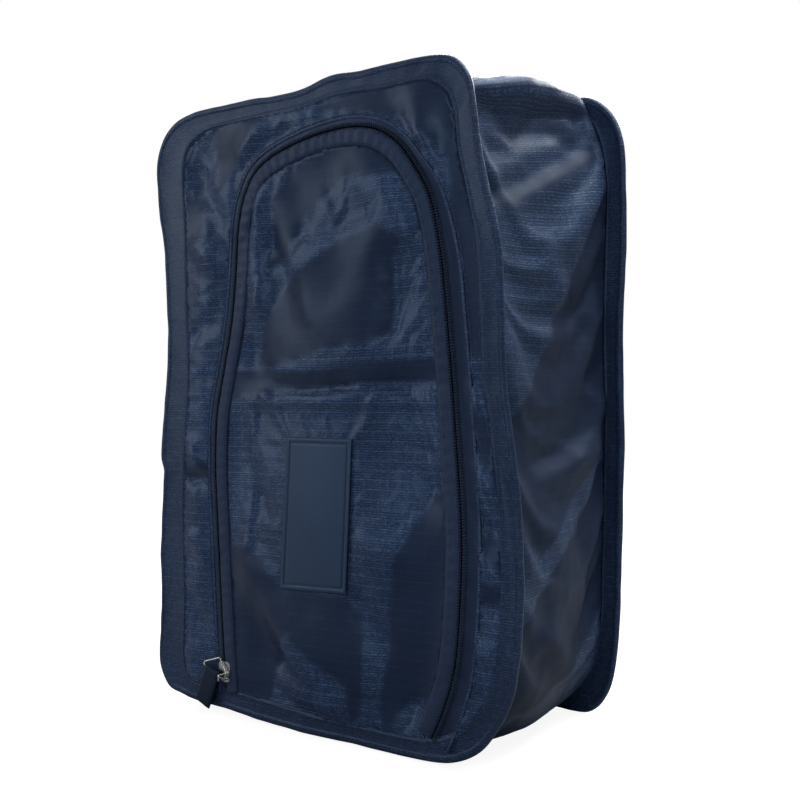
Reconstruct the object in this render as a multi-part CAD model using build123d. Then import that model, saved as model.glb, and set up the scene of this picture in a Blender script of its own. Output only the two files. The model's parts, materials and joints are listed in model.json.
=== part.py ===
from build123d import *
import os
from math import atan2, cos, degrees, radians, sin

os.makedirs("parts", exist_ok=True)

# A free-standing shoe bag: two upright rounded panels, front and back, joined by one gusset strip.
# Millimetres, +Z up, -Y to the front. Origin: the middle of the bag's footprint, on the surface it
# stands on. The two bound seams stand out past the gusset as fins, and the bag stands on them.

# ---- driving dimensions of the bag
WIDTH = 225.0            # across the fins
HEIGHT = 330.0           # from the surface to the top of the fins
DEPTH = 122.0            # front face of the front fin to back face of the back fin
FIN = 11.0               # how far a fin stands out past the gusset
FIN_RADIUS = 30.0        # corner radius of a fin's outer edge
FABRIC = 1.0             # coated fabric with its backing
BINDING_WALL = 0.6       # tape folded over a fin
BINDING_WIDTH = 9.0      # how far the tape reaches in from the fin's edge
CORD_DIAMETER = 2 * FABRIC

# ---- driving dimensions of the zip
HINGE_Z = 12.0           # the door's fold, just above the bottom seam
TAPE = 0.8
TAPE_WIDTH = 8.6
COIL_HEIGHT = 1.6
COIL_INNER = 0.9         # from the zip's centreline to the coil
COIL_OUTER = 3.1
FABRIC_SETBACK = 4.5     # from the zip's centreline to the fabric's edge
CLEARANCE = 0.3          # between pieces that move past each other

# The zip's centreline: up the left leg, over the arch and down the right leg.
LEG_FOOT = (-63.0, HINGE_Z)
LEG_LEAN = 2.76          # degrees from upright, towards the middle
ARCH_LEFT = (-49.5, 292.0)
ARCH_TOP = (12.0, 308.0)
ARCH_RIGHT = (70.0, 300.0)
RIGHT_BELLY = (86.0, 80.0)
RIGHT_FOOT = (73.0, HINGE_Z)
ARCH_RADII = [24.0, 80.0, 30.0, 80.0]
BELOW_FOOT = 60.0        # the outline runs on this far below the fold, and is cut off there

# ---- slider, ring and tab
SLIDER_Z = 24.0          # height of the slider's middle when the zip is closed
SLIDER_LENGTH = 11.0
SLIDER_WIDTH = 8.2
SLIDER_PLATE = 1.1
SLIDER_FLANGE = 0.6
NECK_WIDTH = 1.2
NECK_LENGTH = 2.8
BAIL_WIDTH = 1.0
BAIL_WALL = 0.9
BAIL_HOLE_DEPTH = 3.4
BAIL_HOLE_LENGTH = 2.2
BAIL_POST = 0.8
RING_WIRE = 1.0
RING_LEAN_BACK = 8.0     # degrees, so that the ring lies against the bag
PULL_SIDEWAYS = 22.5     # degrees that the ring's base bar drops to the right
RING_POINTS = [(-16.5, 0.0), (2.6, 0.0), (1.9, 3.6), (-6.0, 8.8)]
RING_RADIUS = 1.1
TAB_FROM = -13.3         # along the ring's base bar
TAB_TO = -1.8
TAB_LENGTH = 20.5
TAB_THICKNESS = 2.0
TAB_SLEEVE_RADIUS = 1.6

# ---- label, handle and divider
LABEL_SIZE = (44.0, 78.0)
LABEL_RADIUS = 1.2
LABEL_THICKNESS = 2.0
LABEL_CENTRE = (1.0, 112.0)
LABEL_TURN = -1.5
STRAP_WIDTH = 20.0
STRAP_THICKNESS = 1.4
STRAP_HALF_SPAN = 47.0
STRAP_RISE = 8.2
ANCHOR_LENGTH = 14.0
DIVIDER_Z = 165.0
DIVIDER_THICKNESS = 1.2
DIVIDER_FRONT_GAP = 9.0  # from the front fabric to the divider's front edge
DIVIDER_FLAP = 14.0      # upturned side flap that carries the hook tape
HOOK_TAPE = 1.0
HOOK_LENGTH = 80.0
DIVIDER_TAPE_HEIGHT = 20.0
SEAM_TAPE_WIDTH = 20.0

# ---- positions that follow from them
PROUD = CLEARANCE + SLIDER_PLATE + BAIL_HOLE_DEPTH + BAIL_WALL   # how far the bail stands in front
FRONT_Y = -(DEPTH + PROUD) / 2 + PROUD
BACK_Y = FRONT_Y + DEPTH
MID_Y = (FRONT_Y + BACK_Y) / 2
FIN_THICKNESS = 2 * BINDING_WALL + 2 * FABRIC
PANEL_Y = FRONT_Y + BINDING_WALL                # outer face of the front fabric
PANEL_BACK_Y = PANEL_Y + FABRIC
REAR_PANEL_Y = BACK_Y - BINDING_WALL - FABRIC   # inner face of the back fabric
COIL_Y = PANEL_BACK_Y - COIL_HEIGHT
PLATE_Y = COIL_Y - CLEARANCE - SLIDER_PLATE     # front face of the slider
PULL_Y = PLATE_Y - TAB_SLEEVE_RADIUS - CLEARANCE - 0.1
PULL_Z = 21.0                                   # height of the ring's wire in the bail
PANEL_INSET = BINDING_WALL + CORD_DIAMETER
SIDE_X = WIDTH / 2 - FIN                        # outer face of the gusset's side
TOP_Z = HEIGHT - FIN                            # outer face of the gusset's top


def upright(face, y_front, thickness):
    """A face drawn in X and Z becomes a plate from y_front back to y_front + thickness."""
    plane = Plane(origin=(0, y_front + thickness, 0), x_dir=(1, 0, 0), z_dir=(0, -1, 0))
    return extrude(plane * face, amount=thickness)


def outline(inset):
    """The bag's rounded outline, moved in by inset all round."""
    shape = RectangleRounded(WIDTH - 2 * inset, HEIGHT - 2 * inset, FIN_RADIUS - inset)
    return Pos(0, HEIGHT / 2) * shape


def zip_region(beyond, lowest):
    """The area inside the zip's centreline, grown by beyond, above the height lowest."""
    lean = radians(LEG_LEAN)
    foot = (LEG_FOOT[0] - BELOW_FOOT * sin(lean), LEG_FOOT[1] - BELOW_FOOT * cos(lean))
    slope = (RIGHT_BELLY[0] - RIGHT_FOOT[0]) / (RIGHT_BELLY[1] - RIGHT_FOOT[1])
    right_foot = (RIGHT_FOOT[0] - BELOW_FOOT * slope, RIGHT_FOOT[1] - BELOW_FOOT)
    points = [foot, ARCH_LEFT, ARCH_TOP, ARCH_RIGHT, RIGHT_BELLY, right_foot]
    edge = FilletPolyline(*points, radius=ARCH_RADII)
    face = make_face([edge.edges(), Line(right_foot, foot)])
    if beyond:
        face = offset(face, amount=beyond)
    above = Pos(0, lowest + HEIGHT) * Rectangle(2 * WIDTH, 2 * HEIGHT)
    return face & above


def zip_band(from_line, to_line, lowest):
    """The strip of the region between two distances from the zip's centreline."""
    return zip_region(max(from_line, to_line), lowest) - zip_region(min(from_line, to_line), lowest - 1)


def leg_x(z):
    """X of the zip's left leg at a height."""
    return LEG_FOOT[0] + (z - LEG_FOOT[1]) * sin(radians(LEG_LEAN)) / cos(radians(LEG_LEAN))


def front_panel():
    opening = zip_region(FABRIC_SETBACK, HINGE_Z - CLEARANCE)
    return upright(outline(PANEL_INSET) - opening, PANEL_Y, FABRIC)


def back_panel():
    return upright(outline(PANEL_INSET), REAR_PANEL_Y, FABRIC)


def gusset():
    """The strip round the sides, top and bottom, with its seam allowances turned out."""
    start = PANEL_BACK_Y
    length = REAR_PANEL_Y - start
    strip = upright(outline(FIN) - outline(FIN + FABRIC), start, length)
    allowance = outline(PANEL_INSET) - outline(FIN)
    return strip + upright(allowance, start, FABRIC) + upright(allowance, REAR_PANEL_Y - FABRIC, FABRIC)


def gusset_seam_tape():
    """Covers the closing seam of the gusset strip, inside the floor of the bag."""
    length = REAR_PANEL_Y - PANEL_BACK_Y - 2 * TAPE_WIDTH
    tape = Box(SEAM_TAPE_WIDTH, length, TAPE, align=(Align.CENTER, Align.CENTER, Align.MIN))
    return Pos(0, MID_Y, FIN + FABRIC) * tape


def binding(y_front):
    """Tape folded over a fin: a channel open towards the middle of the panel."""
    solid = upright(outline(0) - outline(BINDING_WIDTH), y_front, FIN_THICKNESS)
    slot = upright(outline(BINDING_WALL), y_front + BINDING_WALL, FIN_THICKNESS - 2 * BINDING_WALL)
    return solid - slot


def edge_cord(y_front):
    """Plastic cord inside the fold of the binding that keeps the panel's outline."""
    inset = BINDING_WALL + CORD_DIAMETER / 2
    plane = Plane(origin=(0, y_front + FIN_THICKNESS / 2, 0), x_dir=(1, 0, 0), z_dir=(0, -1, 0))
    path = (plane * outline(inset)).face().outer_wire()
    start = Plane(origin=path @ 0, z_dir=path % 0)
    return sweep(start * Circle(CORD_DIAMETER / 2), path=path)


def frame_zip_tape():
    return upright(zip_band(COIL_INNER, COIL_INNER + TAPE_WIDTH, HINGE_Z + CLEARANCE), PANEL_BACK_Y, TAPE)


def frame_zip_coil():
    return upright(zip_band(COIL_INNER, COIL_OUTER, HINGE_Z + CLEARANCE), COIL_Y, COIL_HEIGHT)


def slider_notch(reach):
    """The space that the slider needs beside the left leg when the zip is closed."""
    top = SLIDER_Z + SLIDER_LENGTH / 2 + 2
    middle = (top + HINGE_Z - 2) / 2
    notch = Rectangle(2 * reach, top - HINGE_Z + 2)
    return Pos(leg_x(middle), middle) * Rot(0, 0, -LEG_LEAN) * notch


def door_panel():
    return upright(zip_region(-FABRIC_SETBACK, HINGE_Z + CLEARANCE), PANEL_Y, FABRIC)


def door_zip_tape():
    band = zip_band(-COIL_INNER - TAPE_WIDTH, -COIL_INNER, HINGE_Z + CLEARANCE)
    return upright(band - slider_notch(SLIDER_WIDTH / 2 + 2 * CLEARANCE), PANEL_BACK_Y, TAPE)


def door_zip_coil():
    band = zip_band(-COIL_OUTER, -COIL_INNER, HINGE_Z + CLEARANCE)
    return upright(band - slider_notch(SLIDER_WIDTH / 2 + 2 * CLEARANCE), COIL_Y, COIL_HEIGHT)


def label_patch():
    face = RectangleRounded(*LABEL_SIZE, LABEL_RADIUS)
    face = Pos(*LABEL_CENTRE) * Rot(0, 0, LABEL_TURN) * face
    return upright(face, PANEL_Y - LABEL_THICKNESS, LABEL_THICKNESS)


def slider_place():
    """The slider's own place: on the left leg, leaning with it."""
    return Pos(leg_x(SLIDER_Z), 0, SLIDER_Z) * Rot(0, LEG_LEAN, 0)


def slider_body():
    """Two plates joined by a neck, with lips round the coils and a bail for the ring."""
    plate = RectangleRounded(SLIDER_WIDTH, SLIDER_LENGTH, 2.0)
    rear_y = PANEL_BACK_Y + TAPE + CLEARANCE
    body = upright(plate, PLATE_Y, SLIDER_PLATE) + upright(plate, rear_y, SLIDER_PLATE)
    neck = Pos(0, (NECK_LENGTH - SLIDER_LENGTH) / 2) * Rectangle(NECK_WIDTH, NECK_LENGTH)
    body += upright(neck, PLATE_Y + SLIDER_PLATE / 2, rear_y - PLATE_Y)
    lip = Rectangle(SLIDER_FLANGE, SLIDER_LENGTH - 4)
    lip_x = (SLIDER_WIDTH - SLIDER_FLANGE) / 2
    lip_depth = CLEARANCE + COIL_HEIGHT / 2
    for side in (-1, 1):
        body += upright(Pos(side * lip_x, 0) * lip, PLATE_Y + SLIDER_PLATE, lip_depth)
    return slider_place() * (body + slider_bail())


def slider_bail():
    """A bridge along the slider, whose hole lets the ring's wire through from side to side."""
    outer_length = BAIL_HOLE_LENGTH + 2 * BAIL_POST
    outer_depth = BAIL_HOLE_DEPTH + BAIL_WALL
    bridge = Box(BAIL_WIDTH, outer_depth, outer_length)
    bridge = fillet(bridge.edges().filter_by(Axis.X).group_by(Axis.Y)[0], BAIL_WALL * 0.8)
    hole = Pos(0, BAIL_WALL / 2, 0) * Box(2 * BAIL_WIDTH, BAIL_HOLE_DEPTH, BAIL_HOLE_LENGTH)
    return Pos(0, PLATE_Y - outer_depth / 2, PULL_Z - SLIDER_Z) * (bridge - hole)


def pull_place():
    """The ring's base bar: through the bail's hole, dropping to the right."""
    return Pos(leg_x(PULL_Z), PULL_Y, PULL_Z) * Rot(0, PULL_SIDEWAYS, 0)


def puller_ring():
    """A bent wire ring whose straight base bar runs through the bail and the tab's fold."""
    path = FilletPolyline(*RING_POINTS, radius=RING_RADIUS, close=True)
    wire = Plane.XZ * path
    start = Plane(origin=wire @ 0, z_dir=wire % 0)
    ring = sweep(start * Circle(RING_WIRE / 2), path=wire)
    return pull_place() * Rot(-RING_LEAN_BACK, 0, 0) * ring


def pull_tab():
    """A fabric strip folded over the base bar and stitched to itself."""
    width = TAB_TO - TAB_FROM
    middle = (TAB_TO + TAB_FROM) / 2
    sleeve = Rot(0, 90, 0) * Cylinder(TAB_SLEEVE_RADIUS, width)
    strip = Box(width, TAB_THICKNESS, TAB_LENGTH, align=(Align.CENTER, Align.CENTER, Align.MAX))
    strip = fillet(strip.edges().filter_by(Axis.Y).group_by(Axis.Z)[0], 1.0)
    hole = Rot(0, 90, 0) * Cylinder(RING_WIRE / 2 + CLEARANCE, 2 * width)
    return pull_place() * Pos(middle, 0, 0) * (sleeve + strip - hole)


def handle_strap():
    """Flat webbing that lies in a low arch on top of the bag."""
    foot = TOP_Z + CLEARANCE
    lower = ThreePointArc((-STRAP_HALF_SPAN, foot), (0, foot + STRAP_RISE), (STRAP_HALF_SPAN, foot))
    top = foot + STRAP_THICKNESS
    upper = ThreePointArc((STRAP_HALF_SPAN, top), (0, top + STRAP_RISE), (-STRAP_HALF_SPAN, top))
    ends = [Line(lower @ 1, upper @ 0), Line(upper @ 1, lower @ 0)]
    return upright(make_face([lower, upper, *ends]), MID_Y - STRAP_WIDTH / 2, STRAP_WIDTH)


def handle_anchor(side):
    """The stitched-down end of the handle, under its folded patch."""
    block = Box(ANCHOR_LENGTH, STRAP_WIDTH + 2, STRAP_THICKNESS)
    block = fillet(block.edges().filter_by(Axis.Z), 1.5)
    x = side * (STRAP_HALF_SPAN + CLEARANCE + ANCHOR_LENGTH / 2)
    return Pos(x, MID_Y, TOP_Z + STRAP_THICKNESS / 2) * block


# The divider hangs from a tape on the back panel, and its side flaps cling to tapes on the gusset.
DIVIDER_BACK_Y = REAR_PANEL_Y - TAPE - CLEARANCE
DIVIDER_FRONT_Y = PANEL_BACK_Y + DIVIDER_FRONT_GAP
DIVIDER_MID_Y = (DIVIDER_BACK_Y + DIVIDER_FRONT_Y) / 2
WALL_X = SIDE_X - FABRIC
DIVIDER_HALF = WALL_X - 2 * HOOK_TAPE - CLEARANCE


def divider_panel():
    depth = DIVIDER_BACK_Y - DIVIDER_FRONT_Y
    panel = Pos(0, DIVIDER_MID_Y, DIVIDER_Z) * Box(2 * DIVIDER_HALF, depth, DIVIDER_THICKNESS)
    flap = Box(FABRIC, HOOK_LENGTH, DIVIDER_FLAP, align=(Align.CENTER, Align.CENTER, Align.MIN))
    for side in (-1, 1):
        panel += Pos(side * (DIVIDER_HALF - FABRIC / 2), DIVIDER_MID_Y, DIVIDER_Z) * flap
    return panel


def divider_binding():
    """Tape folded over the divider's front edge."""
    thickness = DIVIDER_THICKNESS + 2 * BINDING_WALL
    outer = Box(2 * DIVIDER_HALF, BINDING_WIDTH + BINDING_WALL, thickness)
    y = DIVIDER_FRONT_Y - BINDING_WALL + (BINDING_WIDTH + BINDING_WALL) / 2
    slot = Box(2 * DIVIDER_HALF, BINDING_WIDTH, DIVIDER_THICKNESS)
    return Pos(0, y, DIVIDER_Z) * outer - Pos(0, DIVIDER_FRONT_Y + BINDING_WIDTH / 2, DIVIDER_Z) * slot


def divider_hinge_tape():
    """Sewn to the back panel; the divider's rear edge is held by it."""
    tape = Box(2 * DIVIDER_HALF, TAPE, DIVIDER_TAPE_HEIGHT)
    return Pos(0, REAR_PANEL_Y - TAPE / 2, DIVIDER_Z) * tape


def hook_strip(side):
    strip = Box(HOOK_TAPE, HOOK_LENGTH, DIVIDER_FLAP)
    x = side * (DIVIDER_HALF + HOOK_TAPE / 2)
    return Pos(x, DIVIDER_MID_Y, DIVIDER_Z + DIVIDER_FLAP / 2) * strip


def loop_strip(side):
    strip = Box(HOOK_TAPE, HOOK_LENGTH, DIVIDER_FLAP)
    x = side * (WALL_X - HOOK_TAPE / 2)
    return Pos(x, DIVIDER_MID_Y, DIVIDER_Z + DIVIDER_FLAP / 2) * strip


NODES = {
    "front_panel": front_panel,
    "back_panel": back_panel,
    "gusset": gusset,
    "gusset_seam_tape": gusset_seam_tape,
    "front_binding": lambda: binding(FRONT_Y),
    "back_binding": lambda: binding(BACK_Y - FIN_THICKNESS),
    "front_edge_cord": lambda: edge_cord(FRONT_Y),
    "back_edge_cord": lambda: edge_cord(BACK_Y - FIN_THICKNESS),
    "frame_zip_tape": frame_zip_tape,
    "frame_zip_coil": frame_zip_coil,
    "handle_anchor_left": lambda: handle_anchor(-1),
    "handle_anchor_right": lambda: handle_anchor(1),
    "loop_strip_left": lambda: loop_strip(-1),
    "loop_strip_right": lambda: loop_strip(1),
    "divider_hinge_tape": divider_hinge_tape,
    "door_panel": door_panel,
    "door_zip_tape": door_zip_tape,
    "door_zip_coil": door_zip_coil,
    "label_patch": label_patch,
    "slider_body": slider_body,
    "puller_ring": puller_ring,
    "pull_tab": pull_tab,
    "handle_strap": handle_strap,
    "divider_panel": divider_panel,
    "divider_binding": divider_binding,
    "hook_strip_left": lambda: hook_strip(-1),
    "hook_strip_right": lambda: hook_strip(1),
}

for name, make in NODES.items():
    export_step(make(), f"parts/{name}.step")
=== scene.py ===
import json
import math

import bpy
import numpy as np
from mathutils import Matrix, Vector, geometry, noise


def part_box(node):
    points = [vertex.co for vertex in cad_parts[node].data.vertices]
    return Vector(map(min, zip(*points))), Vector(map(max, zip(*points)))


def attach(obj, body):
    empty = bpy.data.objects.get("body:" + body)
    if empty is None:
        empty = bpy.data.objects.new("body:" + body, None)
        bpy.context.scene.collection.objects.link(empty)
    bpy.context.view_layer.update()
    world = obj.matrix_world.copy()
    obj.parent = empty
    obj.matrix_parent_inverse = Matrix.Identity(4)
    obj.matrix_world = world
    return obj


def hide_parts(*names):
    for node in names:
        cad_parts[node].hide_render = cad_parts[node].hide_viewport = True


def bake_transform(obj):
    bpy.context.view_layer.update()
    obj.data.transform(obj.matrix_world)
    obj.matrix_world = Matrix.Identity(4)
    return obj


# A navy ripstop shoe bag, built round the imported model. The code works in millimetres, in the
# row frame, and make_mesh() turns them into metres.

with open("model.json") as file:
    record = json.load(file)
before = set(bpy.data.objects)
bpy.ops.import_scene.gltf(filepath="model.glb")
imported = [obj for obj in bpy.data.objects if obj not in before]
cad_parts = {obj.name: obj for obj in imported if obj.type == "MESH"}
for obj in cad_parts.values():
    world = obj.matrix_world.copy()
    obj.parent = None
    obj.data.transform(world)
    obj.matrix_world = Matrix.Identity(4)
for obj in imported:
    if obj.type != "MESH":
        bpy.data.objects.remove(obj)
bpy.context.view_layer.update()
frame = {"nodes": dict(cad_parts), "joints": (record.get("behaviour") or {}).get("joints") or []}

MM = 0.001
SLIDER_TRAVEL = 215.0               # a little more than the slide joint's range
TO_FRONT, TO_TOP = (0.0, -1.0, 0.0), (0.0, 0.0, 1.0)
CLOTH = 0.45                        # how thick the ripstop is
CORD_SIDES = 8
COIL_PITCH = 1.35
GUSSET_COLUMNS = 46
# Columns of a fin's points: the seam's thread, the step of the piping, the rim itself.
SEAM_COLUMN, PIPING_COLUMN, RIM_COLUMN = 4, 10, 15
# Stitches by what they hold: pitch, length, width, height, and how far they lean.
STITCHES = {
    "zip": (2.6, 1.9, 0.42, 0.3, 0.0),
    "binding": (2.9, 2.1, 0.45, 0.4, 0.12),
    "label": (2.8, 2.0, 0.45, 0.35, 0.0),
    "tab": (1.9, 1.4, 0.35, 0.3, 0.0),
    "handle": (2.4, 1.8, 0.5, 0.4, 0.0),
    "divider": (2.8, 2.0, 0.45, 0.4, 0.0),
}


def box_mm(node):
    """The lowest and highest corner of a CAD node, in millimetres."""
    low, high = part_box(node)
    return np.array(low) / MM, np.array(high) / MM


FRONT_Y = box_mm("front_binding")[0][1]
BACK_Y = box_mm("back_binding")[1][1]
FIN_THICKNESS = box_mm("front_binding")[1][1] - FRONT_Y
MID_Y = (FRONT_Y + BACK_Y) / 2
PANEL_Y = box_mm("front_panel")[0][1]
HINGE_Z = box_mm("door_panel")[0][2]
SLIDER_LOW, SLIDER_HIGH = box_mm("slider_body")
SLIDER_FOOT = ((SLIDER_LOW[0] + SLIDER_HIGH[0]) / 2, (SLIDER_LOW[2] + SLIDER_HIGH[2]) / 2)
ZIP_SLIDE = next(joint for joint in frame["joints"] if joint["name"] == "zip_slide")
SLIDER_LEAN = ZIP_SLIDE["axis"][0] / ZIP_SLIDE["axis"][2]
SLIDER_TOP = SLIDER_FOOT[1] + SLIDER_TRAVEL

# ------------------------------------------------------------------ curves


def smooth(points, spacing, closed=False):
    """A centripetal Catmull-Rom curve through given points, resampled at an even spacing."""
    pts = np.array(points, float)
    if closed:
        pts = np.vstack([pts[-1], pts, pts[0], pts[1]])
    else:
        pts = np.vstack([2 * pts[0] - pts[1], pts, 2 * pts[-1] - pts[-2]])
    dense = []
    for a, b, c, d in zip(pts, pts[1:], pts[2:], pts[3:]):
        t1 = np.linalg.norm(b - a) ** 0.5
        t2 = t1 + np.linalg.norm(c - b) ** 0.5
        t3 = t2 + np.linalg.norm(d - c) ** 0.5
        t = np.linspace(t1, t2, 24, endpoint=False)[:, None]
        ab = a * (t1 - t) / t1 + b * t / t1
        bc = b * (t2 - t) / (t2 - t1) + c * (t - t1) / (t2 - t1)
        cd = c * (t3 - t) / (t3 - t2) + d * (t - t2) / (t3 - t2)
        abc = ab * (t2 - t) / t2 + bc * t / t2
        bcd = bc * (t3 - t) / (t3 - t1) + cd * (t - t1) / (t3 - t1)
        dense.append(abc * (t2 - t) / (t2 - t1) + bcd * (t - t1) / (t2 - t1))
    dense.append(pts[-2:-1])
    return resample(np.vstack(dense), spacing, closed)


def resample(line, spacing, closed=False):
    """The same line with evenly spaced points. A closed line doesn't repeat its first point."""
    steps = np.linalg.norm(np.diff(line, axis=0), axis=1)
    keep = np.concatenate([[True], steps > 1e-9])
    line = line[keep]
    at = np.concatenate([[0], np.cumsum(np.linalg.norm(np.diff(line, axis=0), axis=1))])
    count = max(4, int(round(at[-1] / spacing)))
    wanted = np.linspace(0, at[-1], count + 1)
    if closed:
        wanted = wanted[:-1]
    return np.stack([np.interp(wanted, at, line[:, i]) for i in range(line.shape[1])], axis=1)


def tangents(line, closed=False):
    if closed:
        step = np.roll(line, -1, axis=0) - np.roll(line, 1, axis=0)
    else:
        step = np.gradient(line, axis=0)
    return step / np.linalg.norm(step, axis=1)[:, None]


def left_normals(line, closed=False):
    """Unit normals to the left of a flat line's direction."""
    t = tangents(line, closed)
    return np.stack([-t[:, 1], t[:, 0]], axis=1)


def lengths_along(line):
    """How far along a line each of its points is."""
    steps = np.linalg.norm(np.diff(line, axis=0), axis=1)
    return np.concatenate([[0], np.cumsum(steps)])


def wobble(seed, scale, *coords):
    """Smooth noise in -1..1 at a scale in millimetres."""
    arrays = np.broadcast_arrays(*coords)
    flat = [a.ravel() for a in arrays]
    while len(flat) < 3:
        flat.append(np.zeros_like(flat[0], dtype=float))
    out = [noise.noise(Vector((x / scale + seed * 7.31, y / scale, z / scale))) for x, y, z in zip(*flat)]
    return np.array(out).reshape(arrays[0].shape)


# ------------------------------------------------------------------ outlines
# Seen from the front: X to the right, Z up, counter-clockwise from the bottom left corner.
# The filled bag has pushed the straight seams about: in at the top right, out at the lower right.
# The rims were read from the photo's silhouette as the fitted camera puts it on each fin's plane, then
# rounded and adjusted. The zip and the seams were picked in the same way.

FRONT_RIM = [
    (-97, 6), (-84, 3.8), (-62, 3), (-34, 0.8), (-5, 0), (30, 0), (66, 0), (84, 1.8), (99, 9),
    (110, 22), (118, 38), (121.5, 56), (123, 80), (122.5, 112), (119, 149), (114.5, 178), (113, 215),
    (111.5, 244), (105, 270), (100.5, 290), (98.5, 306), (95, 321), (87, 329.5), (76, 332.5),
    (48, 333), (32, 332.5), (16, 333.5), (6, 332.5), (-6, 329.8), (-30, 329.3), (-40, 330), (-60, 329.8),
    (-88, 329), (-104, 324.5), (-113.5, 315), (-117, 301), (-115.5, 279), (-111.8, 258),
    (-110, 225), (-108.8, 204), (-111, 178), (-114, 146), (-114.4, 137), (-112, 131), (-112.2, 126),
    (-113.4, 112), (-115.2, 82), (-114.4, 60), (-115.8, 38), (-115, 20), (-108, 9),
]
BACK_RIM = [
    (-96, 5), (-70, 0.5), (0, 0), (72, 0), (94, 1), (104.5, 12), (110, 34), (112, 70), (113.5, 110),
    (114.5, 150), (113.5, 200), (115, 240), (115.5, 285), (113.5, 309), (106, 325), (93, 334),
    (70, 333), (30, 332), (-30, 332), (-82, 331), (-101, 325), (-111, 308), (-113, 280),
    (-111, 200), (-113, 120), (-112, 40), (-108, 16),
]
# The zip's centreline: up the left leg, over the arch and down the right leg.
ZIP_LINE = [
    (-62.5, HINGE_Z), (-63.2, 22), (-64.6, 38), (-66.1, 61), (-68.2, 95), (-70.3, 138), (-68.6, 164),
    (-63.5, 186), (-57.5, 212), (-54.4, 236), (-52.2, 262), (-48.5, 277), (-41, 289.5), (-30, 296.5),
    (-14, 301.5), (6, 305), (26, 305.5), (42, 302), (55, 293.5), (65, 281), (73, 267), (79, 242),
    (83.5, 204), (87.5, 158), (90.7, 112), (90.2, 82), (86.5, 45), (80, 25), (73.5, HINGE_Z - 1),
]

PIPING = 3.8      # the folded edge that shows of the binding


front_rim = smooth(FRONT_RIM, 2.5, closed=True)
back_rim = smooth(BACK_RIM, 2.5, closed=True)
zip_line = smooth(ZIP_LINE, 1.5)
zip_out = left_normals(zip_line)          # points away from the door
zip_along = lengths_along(zip_line)
zip_share = zip_along / zip_along[-1]
# on the right leg the frame's cloth is pulled away, and more of its tape shows, sunk in shadow
right_leg = np.clip((zip_share - 0.56) / 0.12, 0, 1)
right_leg = right_leg * right_leg * (3 - 2 * right_leg)
FRAME_EDGE = 4.6 + 5.0 * right_leg

# The photo's camera, fitted to the bag's outline: degrees, millimetres, and a lens for a 36 mm sensor.
AZIMUTH, ELEVATION, ROLL = 36.96, 0.39, -0.14
CAMERA_AT = (386.5, -497.65, 174.6)
LENS = 51.75

# ------------------------------------------------------------------ the front's relief
# Positive is out of the bag, towards -Y.

# Middle (X, Z), half widths and height: the door's upper and lower part, the lower right strip, the
# hollow at the top right, and what lies under the label.
FRONT_SWELLINGS = [
    (8, 245, 62, 62, 7.5), (12, 95, 70, 70, 6.5), (100, 70, 26, 60, 4.0), (95, 285, 20, 30, -4.0),
    (1, 112, 30, 50, 1.2),
]


def bump(x, z, cx, cz, rx, rz, height):
    return height * np.exp(-(((x - cx) / rx) ** 2) - ((z - cz) / rz) ** 2)


def crease(x, z, start, end, width, depth, sharp=1.3):
    """A fold along a straight line: deepest on the line, fading out past its ends."""
    a, b = np.array(start, float), np.array(end, float)
    axis = (b - a) / np.linalg.norm(b - a)
    along = (x - a[0]) * axis[0] + (z - a[1]) * axis[1]
    across = np.abs((z - a[1]) * axis[0] - (x - a[0]) * axis[1])
    length = np.linalg.norm(b - a)
    t = np.clip(along / length, -0.3, 1.3)
    fade = np.clip(1 - np.clip(np.abs(t - 0.5) * 2 - 0.55, 0, 1) / 0.75, 0, 1) ** 1.5
    return depth * fade * np.exp(-((across / width) ** sharp))


def slider_clearance(x, z, left=30.0, right=15.0):
    """0 along the slider's straight way, where cloth would be in its way and its pull's, 1 well away."""
    way = SLIDER_FOOT[0] + (z - SLIDER_FOOT[1]) * SLIDER_LEAN
    off = np.where(x < way, (way - x) / left, (x - way) / right)
    above = np.clip((z - SLIDER_TOP - 10) / 25, 0, 1)
    share = np.clip(np.maximum(off, above), 0, 1)
    return share * share * (3 - 2 * share)


def front_relief(x, z):
    """How far the front stands out, large shapes only."""
    out = sum(bump(x, z, *swelling) for swelling in FRONT_SWELLINGS)
    out += crease(x, z, (-64, 183), (96, 180), 10.0, -1.5)
    return out * slider_clearance(x, z)


def on_relief(x, z, proud=0.0):
    """Points of the front. The outlines were read on one plane: what stands proud moves to the camera."""
    x, z = np.asarray(x, float), np.asarray(z, float)
    out = front_relief(x, z) + proud
    share = out / (PANEL_Y - CAMERA_AT[1])
    moved_x, moved_z = x + (CAMERA_AT[0] - x) * share, z + (CAMERA_AT[2] - z) * share
    return np.stack([moved_x, PANEL_Y - out, moved_z], axis=-1)


# ------------------------------------------------------------------ meshes


def make_mesh(name, verts, faces, uv=None):
    """An object from millimetre points. uv is one pair for each vertex, in millimetres."""
    points = [tuple(v * MM) for v in np.asarray(verts, float)]
    mesh = bpy.data.meshes.new(name)
    mesh.from_pydata(points, [], [tuple(int(i) for i in f) for f in faces])
    if uv is not None:
        layer = mesh.uv_layers.new(name="weave")
        index = np.zeros(len(mesh.loops), int)
        mesh.loops.foreach_get("vertex_index", index)
        layer.data.foreach_set("uv", (np.asarray(uv, float)[index] * MM).ravel())
    mesh.shade_smooth()
    mesh.validate()
    obj = bpy.data.objects.new(name, mesh)
    bpy.context.scene.collection.objects.link(obj)
    return obj


def grid_faces(rows, columns, wrap_rows=False, wrap_columns=False):
    """Four-sided faces between the points of a grid, whose ends may join up."""
    faces = []
    for i in range(rows if wrap_rows else rows - 1):
        for j in range(columns if wrap_columns else columns - 1):
            a, b = i * columns + j, i * columns + (j + 1) % columns
            c, d = ((i + 1) % rows) * columns + (j + 1) % columns, ((i + 1) % rows) * columns + j
            faces.append((a, b, c, d))
    return faces


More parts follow.
